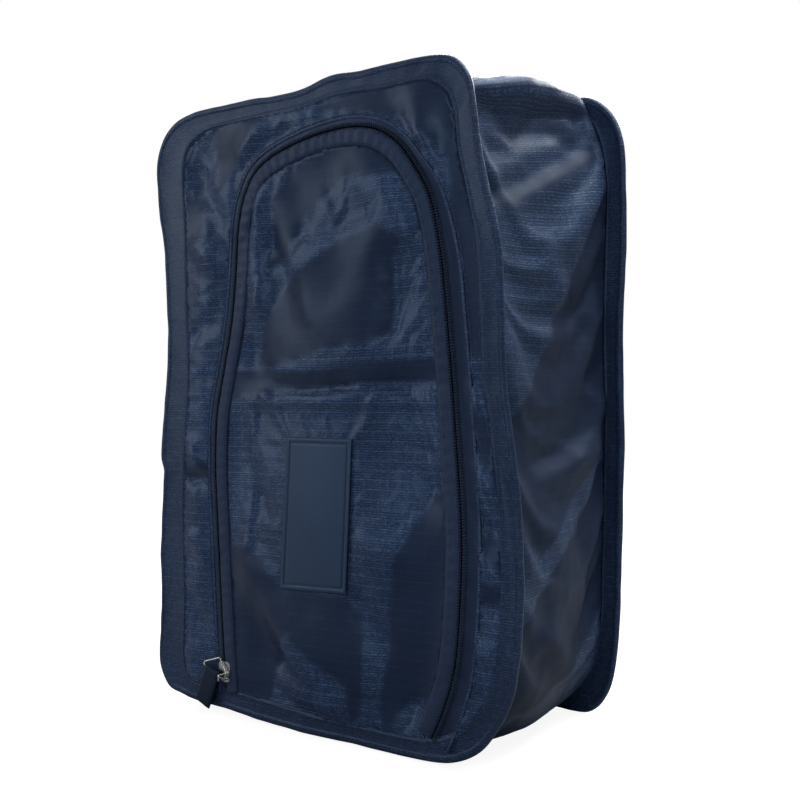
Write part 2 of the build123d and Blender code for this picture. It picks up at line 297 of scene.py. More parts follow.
def inside(points, loop):
    """Which flat points lie inside a closed loop."""
    x, y = points[:, 0][:, None], points[:, 1][:, None]
    x1, y1 = loop[:, 0][None], loop[:, 1][None]
    x2, y2 = np.roll(loop, -1, axis=0)[:, 0][None], np.roll(loop, -1, axis=0)[:, 1][None]
    crosses = ((y1 > y) != (y2 > y)) & (x < (x2 - x1) * (y - y1) / np.where(y2 == y1, 1e-9, y2 - y1) + x1)
    return crosses.sum(1) % 2 == 1


def distance_to(points, loop):
    """How far flat points are from the nearest point of a loop."""
    out = np.full(len(points), 1e9)
    for q in loop:
        out = np.minimum(out, np.hypot(points[:, 0] - q[0], points[:, 1] - q[1]))
    return out


def closed_loop(outline, spacing):
    return resample(np.vstack([outline, outline[:1]]), spacing, True)


def cut_sheet(outline, spacing, seed):
    """Even triangles over a flat shape: points, triangles, and which points are on the edge."""
    rng = np.random.default_rng(seed)
    loop = closed_loop(outline, spacing)
    low, high = outline.min(0), outline.max(0)
    columns = np.arange(low[0], high[0], spacing)
    rows = np.arange(low[1], high[1], spacing * 0.866)
    grid = [(x + (spacing / 2 if i % 2 else 0), z) for i, z in enumerate(rows) for x in columns]
    grid = np.array(grid) + rng.uniform(-0.18, 0.18, (len(grid), 2)) * spacing
    keep = inside(grid, loop) & (distance_to(grid, loop) > spacing * 0.55)
    points = np.vstack([loop, grid[keep]])
    edges = [(i, (i + 1) % len(loop)) for i in range(len(loop))]
    made = geometry.delaunay_2d_cdt([Vector(p) for p in points], edges, [], 0, 1e-5)
    flat = np.array([tuple(v) for v in made[0]])
    tris = np.array(made[2])
    return flat, tris[inside(flat[tris].mean(1), loop)], distance_to(flat, loop) < 0.02


def coordinates(obj):
    co = np.zeros(len(obj.data.vertices) * 3)
    obj.data.vertices.foreach_get("co", co)
    return co.reshape(-1, 3) / MM


def set_coordinates(obj, points):
    obj.data.vertices.foreach_set("co", (np.asarray(points) * MM).ravel())
    obj.data.update()


def add_modifier(obj, kind, **settings):
    modifier = obj.modifiers.new(kind.title(), kind)
    for key, value in settings.items():
        setattr(modifier, key, value)


def apply_modifiers(obj):
    graph = bpy.context.evaluated_depsgraph_get()
    made = bpy.data.meshes.new_from_object(obj.evaluated_get(graph))
    obj.modifiers.clear()
    old = obj.data
    obj.data = made
    bpy.data.meshes.remove(old)


def thicken(obj, thickness, offset=-1):
    """Gives a sheet its thickness in millimetres, behind it (-1) or on both sides of it (0)."""
    add_modifier(obj, "SOLIDIFY", thickness=thickness * MM, offset=offset)
    apply_modifiers(obj)
    return obj


def crumple(obj, held, growth, frames=18, cap=9.0, pressure=0.0, bending=1.6):
    """Cloth a little too large for its seams: it is held at its edges, grows, and buckles into folds."""
    start = coordinates(obj)
    group = obj.vertex_groups.new(name="held")
    for weight in np.unique(held):
        if weight > 0:
            group.add([int(i) for i in np.where(held == weight)[0]], float(weight), "REPLACE")
    cloth = obj.modifiers.new("Cloth", "CLOTH")
    settings = cloth.settings
    settings.quality = 6
    settings.mass = 0.15
    settings.tension_stiffness = settings.compression_stiffness = 18
    settings.shear_stiffness = 9
    settings.bending_model = "ANGULAR"
    settings.bending_stiffness = bending
    settings.air_damping = 2.0
    settings.vertex_group_mass = "held"
    settings.pin_stiffness = 1.0
    settings.shrink_min = -growth
    settings.effector_weights.gravity = 0.15
    if pressure:
        settings.use_pressure = True
        settings.uniform_pressure_force = pressure
    cloth.collision_settings.use_collision = False
    cloth.point_cache.frame_start, cloth.point_cache.frame_end = 1, frames + 1
    for number in range(1, frames + 1):
        bpy.context.scene.frame_set(number)
    graph = bpy.context.evaluated_depsgraph_get()
    moved = obj.evaluated_get(graph).to_mesh()
    co = np.zeros(len(moved.vertices) * 3)
    moved.vertices.foreach_get("co", co)
    obj.evaluated_get(graph).to_mesh_clear()
    obj.modifiers.clear()
    bpy.context.scene.frame_set(1)
    shift = co.reshape(-1, 3) / MM - start
    size = np.linalg.norm(shift, axis=1)[:, None]
    shift *= np.minimum(1, cap / np.maximum(size, 1e-6))
    set_coordinates(obj, start + shift)


def beads(name, centres, axes, ups, length, width, height):
    """Many small rounded bars in one mesh: stitches, zip teeth. One axis and one up direction for each."""
    centres, axes, ups = (np.asarray(a, float) for a in (centres, axes, ups))
    axes = axes / np.linalg.norm(axes, axis=1)[:, None]
    sides = np.cross(axes, ups)
    sides /= np.linalg.norm(sides, axis=1)[:, None]
    ups = np.cross(sides, axes)
    ring = [(math.cos(a), math.sin(a)) for a in np.arange(6) * math.pi / 3]
    local = [(-0.5, 0, 0)]
    local += [(t, c * 0.5, s * 0.5) for t in (-0.32, 0.32) for c, s in ring]
    local += [(0.5, 0, 0)]
    verts = [
        centres + axes * (t * length) + sides * (c * width) + ups * (s * height) for t, c, s in local
    ]
    verts = np.stack(verts, axis=1).reshape(-1, 3)
    shape = [(0, 1 + (i + 1) % 6, 1 + i) for i in range(6)]
    shape += [(1 + i, 1 + (i + 1) % 6, 7 + (i + 1) % 6, 7 + i) for i in range(6)]
    shape += [(13, 7 + i, 7 + (i + 1) % 6) for i in range(6)]
    faces = [tuple(v + 14 * k for v in f) for k in range(len(centres)) for f in shape]
    return make_mesh(name, verts, faces)


def at_steps(line, values, steps):
    """Values given at a line's points, read at other distances along it."""
    at = lengths_along(line)
    return np.stack([np.interp(steps, at, values[:, i]) for i in range(3)], axis=1)


def stitches(kind, name, line, ups):
    """A row of stitches along a line in space. ups is the way they face, one for all or one a point."""
    pitch, length, width, height, slant = STITCHES[kind]
    line = np.asarray(line, float)
    ups = np.broadcast_to(np.asarray(ups, float), line.shape)
    middle = np.arange(pitch / 2, lengths_along(line)[-1], pitch)
    centres, up, axes = (at_steps(line, values, middle) for values in (line, ups, tangents(line)))
    axes = axes + slant * np.cross(axes, up)
    return dress(beads(name, centres, axes, up, length, width, height), "thread")


# ------------------------------------------------------------------ materials


THREAD_ROW = 1.25                    # millimetres between the rows of threads that show
GLOSS_TINT = (0.42, 0.68, 1.0, 1.0)   # dyed nylon's gloss is bluish


class Looks:
    """A short way to wire a material's nodes."""

    def __init__(self, name):
        self.material = bpy.data.materials.new(name)
        self.material.use_nodes = True
        self.tree = self.material.node_tree
        self.shader = self.tree.nodes["Principled BSDF"]

    def set(self, **values):
        for key, value in values.items():
            self.shader.inputs[key.replace("_", " ")].default_value = value

    def link(self, source, target):
        self.tree.links.new(source, target)

    def weave_mm(self, x=1.0, y=1.0, z=1.0):
        """The piece's cloth coordinates in millimetres, scaled by x and y."""
        uv = self.tree.nodes.new("ShaderNodeUVMap")
        uv.uv_map = "weave"
        mapping = self.tree.nodes.new("ShaderNodeMapping")
        mapping.inputs["Scale"].default_value = (1000 * x, 1000 * y, 1000 * z)
        self.link(uv.outputs["UV"], mapping.inputs["Vector"])
        return mapping.outputs["Vector"]

    def object_mm(self, scale=1.0):
        coordinates_node = self.tree.nodes.new("ShaderNodeTexCoord")
        mapping = self.tree.nodes.new("ShaderNodeMapping")
        mapping.inputs["Scale"].default_value = (1000 * scale,) * 3
        self.link(coordinates_node.outputs["Object"], mapping.inputs["Vector"])
        return mapping.outputs["Vector"]

    def noise(self, vector, scale=1.0, detail=2.0, rough=0.5):
        made = self.tree.nodes.new("ShaderNodeTexNoise")
        made.inputs["Scale"].default_value = scale
        made.inputs["Detail"].default_value = detail
        made.inputs["Roughness"].default_value = rough
        self.link(vector, made.inputs["Vector"])
        return made.outputs["Fac"]

    def axis(self, vector, which):
        split = self.tree.nodes.new("ShaderNodeSeparateXYZ")
        self.link(vector, split.inputs["Vector"])
        return split.outputs[which]

    def attribute(self, name):
        made = self.tree.nodes.new("ShaderNodeAttribute")
        made.attribute_name = name
        return made.outputs["Fac"]

    def math(self, operation, a, b=None):
        made = self.tree.nodes.new("ShaderNodeMath")
        made.operation = operation
        for socket, value in zip(made.inputs, (a, b)):
            if value is None:
                continue
            if isinstance(value, (int, float)):
                socket.default_value = value
            else:
                self.link(value, socket)
        return made.outputs["Value"]

    def range(self, value, low, high, to_low=0.0, to_high=1.0):
        made = self.tree.nodes.new("ShaderNodeMapRange")
        made.interpolation_type = "SMOOTHSTEP"
        for key, number in zip(("From Min", "From Max", "To Min", "To Max"), (low, high, to_low, to_high)):
            made.inputs[key].default_value = number
        self.link(value, made.inputs["Value"])
        return made.outputs["Result"]

    def ramp(self, value, *colours):
        made = self.tree.nodes.new("ShaderNodeValToRGB")
        stops = made.color_ramp.elements
        while len(stops) < len(colours):
            stops.new(0.5)
        for i, colour in enumerate(colours):
            stops[i].position = i / (len(colours) - 1)
            stops[i].color = (*colour, 1)
        self.link(value, made.inputs["Fac"])
        return made.outputs["Color"]

    def bump(self, height, distance, strength=1.0, under=None):
        made = self.tree.nodes.new("ShaderNodeBump")
        made.inputs["Distance"].default_value = distance * MM
        made.inputs["Strength"].default_value = strength
        self.link(height, made.inputs["Height"])
        if under is not None:
            self.link(under, made.inputs["Normal"])
        return made.outputs["Normal"]


def srgb(r, g, b):
    """A colour read off as 0-255 screen values, in the linear values that shaders take."""
    return tuple((v / 255 / 12.92) if v <= 10 else ((v / 255 + 0.055) / 1.055) ** 2.4 for v in (r, g, b))


def grid_lines(look, vector, pitch, width, upright):
    """Thin lines both ways across a cloth, pitch millimetres apart. upright is the warp's strength."""
    found = []
    for which, strength in (("X", upright), ("Y", 1.0)):
        wave = look.math("PINGPONG", look.axis(vector, which), pitch / 2)
        found.append(look.range(wave, 0.0, width, strength, 0.0))
    return look.math("MAXIMUM", *found)


def calm_dullness(look):
    """How much rougher the smooth areas are."""
    return look.math("MULTIPLY", look.attribute("smooth_shaded"), 0.12)


def ripstop_material(name, dark, light, rough=0.24, line_strength=0.5, weave_depth=0.1, crinkle=0.3):
    """Coated nylon ripstop: short bright threads, a faint grid of thicker ones, crinkles. The bright threads
    are partly the weave's own tone and partly painted glints of the soft boxes; inside the smooth areas the
    cloth is painted dark instead, as shade.
    """
    look = Looks(name)
    # woven is 1 outside the smooth areas of painted shade; only there do the bright flecks, painted glints in
    # part, show.
    woven = look.math("SUBTRACT", 1.0, look.attribute("smooth_shaded"))
    rows = look.math("PINGPONG", look.axis(look.weave_mm(), "Y"), THREAD_ROW / 2)
    rows = look.range(rows, 0.12, THREAD_ROW / 2)
    dashes = look.range(look.noise(look.weave_mm(0.42, 1.9), 1.0, 2.0, 0.6), 0.40, 0.66)
    flecks_and_glints = look.math("MULTIPLY", rows, dashes)
    fine = look.range(look.noise(look.weave_mm(1.1, 2.4), 1.0, 2.0, 0.6), 0.35, 0.7)
    flecks_and_glints = look.math("ADD", look.math("MULTIPLY", flecks_and_glints, 0.75), look.math("MULTIPLY", fine, 0.3))
    lines = grid_lines(look, look.weave_mm(), 4.7, 0.42, 0.35)
    dots = look.range(look.noise(look.weave_mm(1.2, 1.2), 1.0, 1.0), 0.40, 0.60)
    lines = look.math("MULTIPLY", lines, dots)
    patch = look.noise(look.weave_mm(0.02, 0.02), 1.0, 3.0)
    lit = look.math("ADD", look.math("MULTIPLY", flecks_and_glints, 0.85), look.math("MULTIPLY", lines, line_strength))
    lit = look.math("MULTIPLY", lit, look.range(patch, 0.35, 0.62, 0.6, 1.0))
    faint = look.math("MULTIPLY", lines, 0.12)
    lit = look.math("ADD", look.math("MULTIPLY", lit, woven), faint)
    # The ramp's top stop, 1.8 times the light colour, is painted glint.
    colour = look.ramp(lit, dark, light, tuple(min(1, 1.8 * c) for c in light))
    look.link(colour, look.shader.inputs["Base Color"])
    gloss = look.math("ADD", look.range(patch, 0.3, 0.7, rough - 0.03, rough + 0.09), calm_dullness(look))
    look.link(gloss, look.shader.inputs["Roughness"])
    soft = look.noise(look.weave_mm(0.11, 0.14), 1.0, 3.0, 0.55)
    normal = look.bump(soft, crinkle, 0.5)
    height = look.math("MULTIPLY", look.math("ADD", flecks_and_glints, lines), woven)
    normal = look.bump(height, weave_depth, 0.8, normal)
    look.link(normal, look.shader.inputs["Normal"])
    look.set(Specular_IOR_Level=0.26, Specular_Tint=GLOSS_TINT, Sheen_Weight=0.0, Sheen_Roughness=0.4)
    return look.material


def tape_material(name, dark, light, pitch=0.9, rough=0.5, depth=0.08, along="Y"):
    """Woven tape: ribs across it, a little lint and wear."""
    look = Looks(name)
    vector = look.weave_mm()
    rib = look.math("PINGPONG", look.axis(vector, along), pitch / 2)
    rib = look.range(rib, 0.05, pitch / 2)
    other = look.math("PINGPONG", look.axis(vector, "X" if along == "Y" else "Y"), pitch * 0.7)
    other = look.range(other, 0.05, pitch * 0.7)
    woven = look.math("MULTIPLY", rib, look.range(other, 0, 1, 0.55, 1.0))
    lint = look.noise(look.weave_mm(0.25, 0.25), 1.0, 4.0)
    fac = look.math("MULTIPLY", look.math("ADD", woven, lint), 0.5)
    look.link(look.ramp(fac, dark, light), look.shader.inputs["Base Color"])
    look.link(look.range(lint, 0.3, 0.7, rough - 0.07, rough + 0.1), look.shader.inputs["Roughness"])
    normal = look.bump(look.noise(look.weave_mm(0.15, 0.15), 1.0, 2.0), 0.5, 0.5)
    look.link(look.bump(woven, depth, 0.8, normal), look.shader.inputs["Normal"])
    look.set(Specular_IOR_Level=0.3, Specular_Tint=GLOSS_TINT, Sheen_Weight=0.05, Sheen_Roughness=0.5)
    return look.material


def plain_material(name, dark, light, rough, grain=0.6, depth=0.03, metallic=0.0):
    """Rubber, thread, plastic or metal: mottled, with a fine grain and small scuffs."""
    look = Looks(name)
    mottle = look.noise(look.object_mm(0.12), 1.0, 4.0)
    fine = look.noise(look.object_mm(grain), 1.0, 3.0, 0.6)
    fac = look.math("MULTIPLY", look.math("ADD", mottle, fine), 0.5)
    look.link(look.ramp(fac, dark, light), look.shader.inputs["Base Color"])
    look.link(look.range(mottle, 0.3, 0.7, rough - 0.06, rough + 0.08), look.shader.inputs["Roughness"])
    look.link(look.bump(fine, depth, 0.7), look.shader.inputs["Normal"])
    look.set(Metallic=metallic)
    if not metallic:
        look.set(Specular_IOR_Level=0.32, Specular_Tint=GLOSS_TINT)
    return look.material


MATERIALS = {
    "ripstop": ripstop_material("navy_ripstop", srgb(27, 38, 62), srgb(60, 80, 116)),
    "ripstop_side": ripstop_material(
        "navy_ripstop_gusset", srgb(27, 37, 58), srgb(58, 78, 110), 0.42, 0.4, 0.08, 0.3
    ),
    "binding": ripstop_material("binding_tape", srgb(27, 37, 60), srgb(52, 68, 98), 0.32, 0.2, 0.08, 0.3),
    "zip_tape": tape_material("zip_tape_weave", srgb(24, 33, 54), srgb(42, 55, 86), 0.7, 0.5, 0.05),
    "thread": plain_material("sewing_thread", srgb(34, 44, 68), srgb(58, 72, 102), 0.5, 3.0, 0.02),
    "coil": plain_material("nylon_coil", srgb(18, 23, 38), srgb(36, 45, 66), 0.32, 1.0, 0.01),
    "label": plain_material("soft_rubber_label", srgb(36, 50, 74), srgb(48, 64, 90), 0.42, 2.2, 0.03),
    "metal": plain_material(
        "nickel_plated_zinc", srgb(150, 150, 150), srgb(206, 206, 208), 0.26, 1.5, 0.01, metallic=1.0
    ),
    "tab": ripstop_material("tab_tape", srgb(18, 25, 42), srgb(32, 42, 64), 0.36, 0.1, 0.02, 0.3),
    "webbing": tape_material("handle_webbing", srgb(20, 27, 44), srgb(38, 48, 72), 1.6, 0.55, 0.2),
    "hook": plain_material("hook_and_loop_pile", srgb(16, 20, 32), srgb(40, 48, 66), 0.8, 2.6, 0.25),
    "cord": plain_material("plastic_cord", srgb(26, 30, 40), srgb(44, 50, 62), 0.4),
    "lining": ripstop_material("divider_ripstop", srgb(24, 31, 50), srgb(44, 58, 84), 0.34, 0.5, 0.04, 0.4),
}


def dress(obj, look):
    obj.data.materials.clear()
    obj.data.materials.append(MATERIALS[look])
    return obj


# ------------------------------------------------------------------ seam lines

FRONT_SEAM = [
    (-88, 14), (-60, 13.5), (-30, 11.5), (0, 9.5), (30, 9), (60, 9), (80, 12), (94, 20), (104, 33),
    (110, 52), (112.5, 80), (112, 112), (108.5, 149), (104, 178), (102, 215), (100, 242), (95, 266),
    (90, 286), (88, 302), (84, 314), (74, 321), (48, 322), (16, 323), (-4, 320.5), (-30, 319.8),
    (-60, 319.3), (-78, 318), (-90, 312), (-95, 302), (-93.5, 263), (-92.8, 225), (-91.4, 180),
    (-94.5, 147), (-96, 102), (-95, 57), (-96, 29), (-94, 19),
]
BACK_SEAM = [
    (-84, 10), (0, 9), (64, 9.5), (85, 13), (95, 24), (100, 45), (101.5, 80), (102.5, 120),
    (103, 165), (102.5, 210), (103.5, 245), (104.5, 285), (102, 305), (96, 319), (85, 327), (68, 328.5),
    (30, 326), (-30, 323), (-76, 321), (-92, 315), (-100, 302), (-102, 280), (-101, 200),
    (-102.5, 120), (-101, 45), (-98, 22),
]
MIDDLE = np.array([6.0, 165.0])       # the bag's middle, seen from the front
ASPECT = 165.0 / 108.0                # its half height over its half width


def turn_of(points):
    """Where each outline point is, as the angle it is seen at from the middle of the bag."""
    return np.arctan2(points[:, 1] - MIDDLE[1], (points[:, 0] - MIDDLE[0]) * ASPECT)


def matching(loop, points):
    """The points of a loop seen at the same angles as some other points."""
    turns = turn_of(loop)
    order = np.argsort(turns)
    turns, ordered = turns[order], loop[order]
    turns = np.concatenate([turns - 2 * math.pi, turns, turns + 2 * math.pi])
    ordered = np.vstack([ordered, ordered, ordered])
    wanted = turn_of(points)
    return np.stack([np.interp(wanted, turns, ordered[:, i]) for i in (0, 1)], axis=1)


front_seam = matching(smooth(FRONT_SEAM, 1.0, closed=True), front_rim)
back_seam = matching(smooth(BACK_SEAM, 1.0, closed=True), back_rim)

# ------------------------------------------------------------------ front fabric

# Folds of the front fabric: start, end, half width of each facet, height (positive stands out).
FRONT_FOLDS = [
    ((-34, 331), (-66, 282), 15, 3.6), ((-64, 288), (2, 310), 10, -3.4), ((-30, 324), (6, 310), 10, 2.4),
    ((44, 331), (62, 286), 10, -3.2), ((52, 330), (86, 264), 9, 2.8), ((-90, 300), (-62, 262), 10, -2.6),
    ((12, 302), (-38, 238), 17, -4.4), ((-36, 290), (-46, 232), 10, 2.6), ((30, 302), (62, 246), 15, 3.4),
    ((-12, 238), (60, 253), 15, 4.0), ((56, 252), (48, 196), 15, -3.8), ((-44, 188), (-8, 240), 16, -3.8),
    ((-58, 185), (84, 188), 4, 1.5), ((-60, 176), (86, 178), 4, -1.5), ((-62, 170), (84, 170), 5, 1.2),
    ((-58, 190), (-34, 179), 4, 1.6), ((-60, 180), (-30, 172), 4, 1.4), ((60, 176), (74, 118), 11, -2.8),
    ((-60, 160), (-32, 108), 13, -2.6), ((-60, 96), (-22, 62), 14, 3.0), ((-52, 62), (-22, 28), 15, -3.4),
    ((-28, 62), (24, 8), 15, 3.4), ((26, 74), (70, 22), 17, -3.8), ((30, 102), (76, 88), 12, 2.6),
    ((74, 120), (60, 40), 11, 2.4), ((-20, 66), (26, 70), 10, -1.8), ((-40, 32), (14, 14), 8, 2.0),
    ((-93, 262), (-58, 240), 9, 2.2), ((-92, 205), (-68, 214), 8, -2.2), ((-96, 150), (-72, 132), 6, 2.8),
    ((-95, 128), (-72, 124), 5, -2.8), ((-94, 96), (-70, 84), 8, 2.0), ((-94, 60), (-68, 40), 9, -2.0),
    ((92, 180), (114, 156), 6, 3.0), ((92, 162), (116, 140), 5, -3.0), ((93, 144), (116, 122), 6, 3.2),
    ((94, 124), (116, 102), 5, -3.2), ((94, 108), (116, 88), 6, 3.0), ((92, 88), (115, 68), 6, -3.2),
    ((90, 66), (112, 50), 6, 3.0), ((86, 44), (107, 34), 6, -2.6), ((82, 26), (99, 20), 5, 2.0),
    ((86, 292), (99, 246), 7, 2.4), ((86, 240), (104, 220), 6, -2.4),
]


# Outlines of the smooth areas, on the front, then on the side, where the coated cloth mirrors no soft box:
# painted shade, the cloth painted dark and plain with its weave hidden. They are also rougher, and on the
# front pressed smooth.
SMOOTH_SHADED_FRONT = [
    [(-36, 240), (-27, 262), (-24, 276), (-4, 296), (12, 301), (34, 302), (58, 289), (54, 280), (38, 280),
     (20, 282), (2, 272), (-8, 262), (-20, 246)],
    [(-40, 186), (-34, 214), (-20, 232), (-4, 240), (20, 252), (44, 256), (60, 248), (50, 240), (50, 206),
     (36, 200), (10, 198), (-14, 192)],
    [(-60, 186), (-20, 186), (40, 190), (86, 191), (86, 180), (40, 180), (-60, 172)],
    [(-60, 92), (-44, 92), (-34, 86), (-24, 74), (20, 72), (30, 66), (34, 40), (30, 14), (24, 12), (22, 30),
     (0, 40), (-14, 50), (-24, 38), (-30, 14), (-60, 14)],
    [(52, 92), (60, 106), (74, 126), (88, 130), (86, 40), (70, 30), (58, 26), (46, 10), (42, 20), (48, 60)],
    [(-74, 320), (-30, 330), (-36, 318), (-60, 288), (-66, 282), (-68, 298)],
    [(0, 317), (40, 326), (78, 328), (98, 318), (100, 290), (106, 250), (112, 225), (112, 190), (92, 190),
     (88, 240), (84, 285), (60, 306), (36, 312)],
    [(-94, 282), (-82, 282), (-78, 262), (-94, 250)],
    [(-94, 240), (-86, 240), (-88, 214), (-94, 214)],
    [(-96, 136), (-72, 136), (-72, 128), (-96, 128)],
    [(90, 168), (98, 150), (112, 128), (122, 126), (114, 152), (98, 168)],
    [(90, 124), (100, 104), (120, 82), (122, 92), (104, 112), (94, 130)],
    [(90, 90), (112, 86), (120, 78), (96, 78)],
]
SMOOTH_SHADED_SIDE = [
    [(60, 288), (-21, 176), (-50, 150), (-50, 110), (-20, 96), (60, 150)],
    [(-50, 60), (60, 140), (60, 60), (20, 30), (-20, 20), (-50, 20)],
    [(-60, 288), (-28, 270), (56, 306), (56, 298), (-26, 262), (-60, 270)],
]


def smooth_shaded(x, z, shapes):
    """1 inside the smooth areas of painted shade, 0 outside, with an edge 2.5 millimetres wide."""
    points = np.column_stack([np.ravel(x), np.ravel(z)])
    total = np.zeros(len(points))
    for shape in shapes:
        loop = np.array(shape, float)
        near = distance_to(points, closed_loop(loop, 1.5))
        signed = np.where(inside(points, loop), near, -near)
        total = np.maximum(total, np.clip(0.5 + signed / 2.5, 0, 1))
    return total


def eased(out, knee=6.0, most=11.0):
    """Stops the front bulging so far that the open door, lying on its face, would be under the floor."""
    over = np.maximum(out - knee, 0)
    return np.minimum(out, knee) + (most - knee) * (1 - np.exp(-over / (most - knee)))


def press_flat(points, tris, amount, rounds=14):
    """Takes the small wrinkles out of the calm areas, and leaves the large folds."""
    pairs = np.vstack([tris[:, [0, 1]], tris[:, [1, 2]], tris[:, [2, 0]]])
    pairs = np.vstack([pairs, pairs[:, ::-1]])
    count = np.bincount(pairs[:, 0], minlength=len(points))
    weight = 0.6 * np.asarray(amount, float)
    for _ in range(rounds):
        mean = np.bincount(pairs[:, 0], points[pairs[:, 1], 1], len(points)) / np.maximum(count, 1)
        points[:, 1] += (mean - points[:, 1]) * weight
    return points


# The smooth areas' mask, stored on the mesh: the ripstop material paints the cloth dark there, as shade.
def set_smooth_shaded(obj, values):
    layer = obj.data.attributes.new("smooth_shaded", "FLOAT", "POINT")
    layer.data.foreach_set("value", np.asarray(values, np.float32))


def facet(x, z, start, end, width, height):
    """A fold with two flat sides that meet in a sharp line, fading out past its ends."""
    a, b = np.array(start, float), np.array(end, float)
    length = np.linalg.norm(b - a)
    axis = (b - a) / length
    along = ((x - a[0]) * axis[0] + (z - a[1]) * axis[1]) / length
    across = (z - a[1]) * axis[0] - (x - a[0]) * axis[1]
    side = np.clip(1 - np.sqrt((across / width) ** 2 + 0.004) + 0.063, 0, 1)
    ends = np.clip((0.5 - np.abs(along - 0.5)) / 0.35 + 0.45, 0, 1)
    return height * side * ends * ends * (3 - 2 * ends)


def folded(x, z, folds):
    total = np.zeros_like(np.asarray(x, float))
    for fold in folds:
        total += facet(x, z, *fold)
    return total


def offset_zip(distance):
    """The zip's centreline moved away from the door, or towards it where negative."""
    line = zip_line + zip_out * np.reshape(distance, (-1, 1))
    # keep only the part that hasn't folded over itself at the tight corners
    step = np.diff(line, axis=0)
    same = (step * np.diff(zip_line, axis=0)).sum(1) > 0
    return line[np.concatenate([[True], same])]


# The label's corners on the front, counter-clockwise from the bottom left.
LABEL_CORNERS = [(-23.2, 72.4), (21.3, 73.9), (25.5, 151.5), (-18.0, 151.6)]
LABEL_THICKNESS = 2.0


def front_sheet(name, outline, spacing, seed, growth, pressure):
    """A panel of the front: laid on the relief, crumpled by the cloth solver, then folded."""
    outline = closed_loop(outline, 3)
    flat, tris, edge = cut_sheet(outline, spacing, seed)
    x, z = flat[:, 0], flat[:, 1]
    start = on_relief(x, z)
    obj = make_mesh(name, start, tris[:, ::-1], uv=flat)
    label = np.array(LABEL_CORNERS)
    under_label = inside(flat, label)
    crumple(obj, (edge | under_label).astype(float), growth, pressure=pressure, cap=6.0)
    clear = slider_clearance(x, z)
    now = start + (coordinates(obj) - start) * (0.15 + 0.85 * clear)[:, None]
    free = np.clip(distance_to(flat, closed_loop(label, 4)) / 6, 0, 1) * ~under_label
    free = free * np.clip(distance_to(flat, resample(outline, 4, True)) / 7, 0, 1)
    fine = 0.35 * wobble(seed, 9, x, z) + 0.8 * wobble(seed + 3, 26, x, z)
    # The smooth areas: they flatten the cloth here, and their mask paints it dark as shade.
    smooth_shaded_share = smooth_shaded(x, z, SMOOTH_SHADED_FRONT)
    sculpt = 1.35 * folded(x, z, FRONT_FOLDS) * (1 - 0.45 * smooth_shaded_share) + fine
    now[:, 1] -= sculpt * free * (0.4 + 0.6 * clear)
    now = press_flat(now, tris, smooth_shaded_share * ~edge)
    now[:, 1] = PANEL_Y - eased(PANEL_Y - now[:, 1])
    set_coordinates(obj, now)
    set_smooth_shaded(obj, smooth_shaded_share)
    dress(thicken(obj, CLOTH), "ripstop")
    return obj, flat_area(flat, tris)


def seam_stretch(lower):
    """The front seam's points between the zip's two feet: over the top, or along the bottom."""
    left, right = zip_line[0], zip_line[-1]
    below = (front_seam[:, 1] < 60) & (front_seam[:, 0] > left[0] + 2) & (front_seam[:, 0] < right[0] - 2)
    if lower:
        chosen = front_seam[below]
        return chosen[np.argsort(chosen[:, 0])]
    rest = front_seam[~below]
    start = np.argmin(np.hypot(*(rest - (right + [4, -3])).T))
    return np.roll(rest, -start, axis=0)


def front_panels():
    outline = np.vstack([seam_stretch(False), offset_zip(FRAME_EDGE)])
    body, area = front_sheet("frame_fabric", outline, 2.6, 4, 0.018, 0.3)
    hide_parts("front_panel")
    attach(body, "shell")

    outline = np.vstack([offset_zip(-8.2)[::-1], seam_stretch(True)])[::-1]
    door, area = front_sheet("door_fabric", outline, 2.4, 9, 0.022, 0.6)
    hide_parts("door_panel")
    hinge_blend(door)


def flat_area(flat, tris):
    """The area of a flat sheet's triangles, in square metres."""
    a, b, c = (flat[tris[:, i]] for i in range(3))
    cross = (b - a)[:, 0] * (c - a)[:, 1] - (b - a)[:, 1] * (c - a)[:, 0]
    return float(np.abs(cross).sum() / 2 * MM * MM)


def on_front(line, proud=0.0, folds=0.5):
    """A flat line laid on the front: points in space, and the direction out of the cloth."""
    x, z = line[:, 0], line[:, 1]
    points = on_relief(x, z, proud + folds * 0.5 * folded(x, z, FRONT_FOLDS) * slider_clearance(x, z))
    step = 1.5
    dx = (front_relief(x + step, z) - front_relief(x - step, z)) / (2 * step)
    dz = (front_relief(x, z + step) - front_relief(x, z - step)) / (2 * step)
    out = np.stack([-dx, -np.ones_like(x), -dz], axis=1)
    return points, out / np.linalg.norm(out, axis=1)[:, None]


# ------------------------------------------------------------------ zip


def strip(name, near, far, proud, crown, across, pucker, seed, sunk=0.0):
    """A tape beside the zip: between two offsets from its centreline, crowned in the middle."""
    rows, uv = [], []
    arch = np.clip(1 - np.abs(zip_share - 0.46) / 0.16, 0, 1)
    gathers = np.sin(zip_along * 2 * math.pi / 6.5 + 1.2 * np.sin(zip_along / 9))
    for t in np.linspace(0, 1, across):
        distance = np.broadcast_to(near + (far - near) * t, zip_along.shape)
        points, out = on_front(zip_line + zip_out * distance[:, None], proud)
        lift = (crown - sunk * right_leg) * (1 - (2 * t - 1) ** 4)
        lift = lift + pucker * (0.35 + arch) * gathers * t * (1 - t) * 4
        lift = lift + 0.25 * wobble(seed, 11, zip_along, distance)
        rows.append(points + out * lift[:, None])
        uv.append(np.stack([distance, zip_along], axis=1))
    verts = np.stack(rows, axis=1).reshape(-1, 3)
    uv = np.stack(uv, axis=1).reshape(-1, 2)
    faces = grid_faces(len(zip_line), across)
    if near < np.max(far):
        faces = [f[::-1] for f in faces]
    return dress(thicken(make_mesh(name, verts, faces, uv), 0.5), "zip_tape")


def hinge_blend(obj):
    """Bakes the piece's placement into its points."""
    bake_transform(obj)


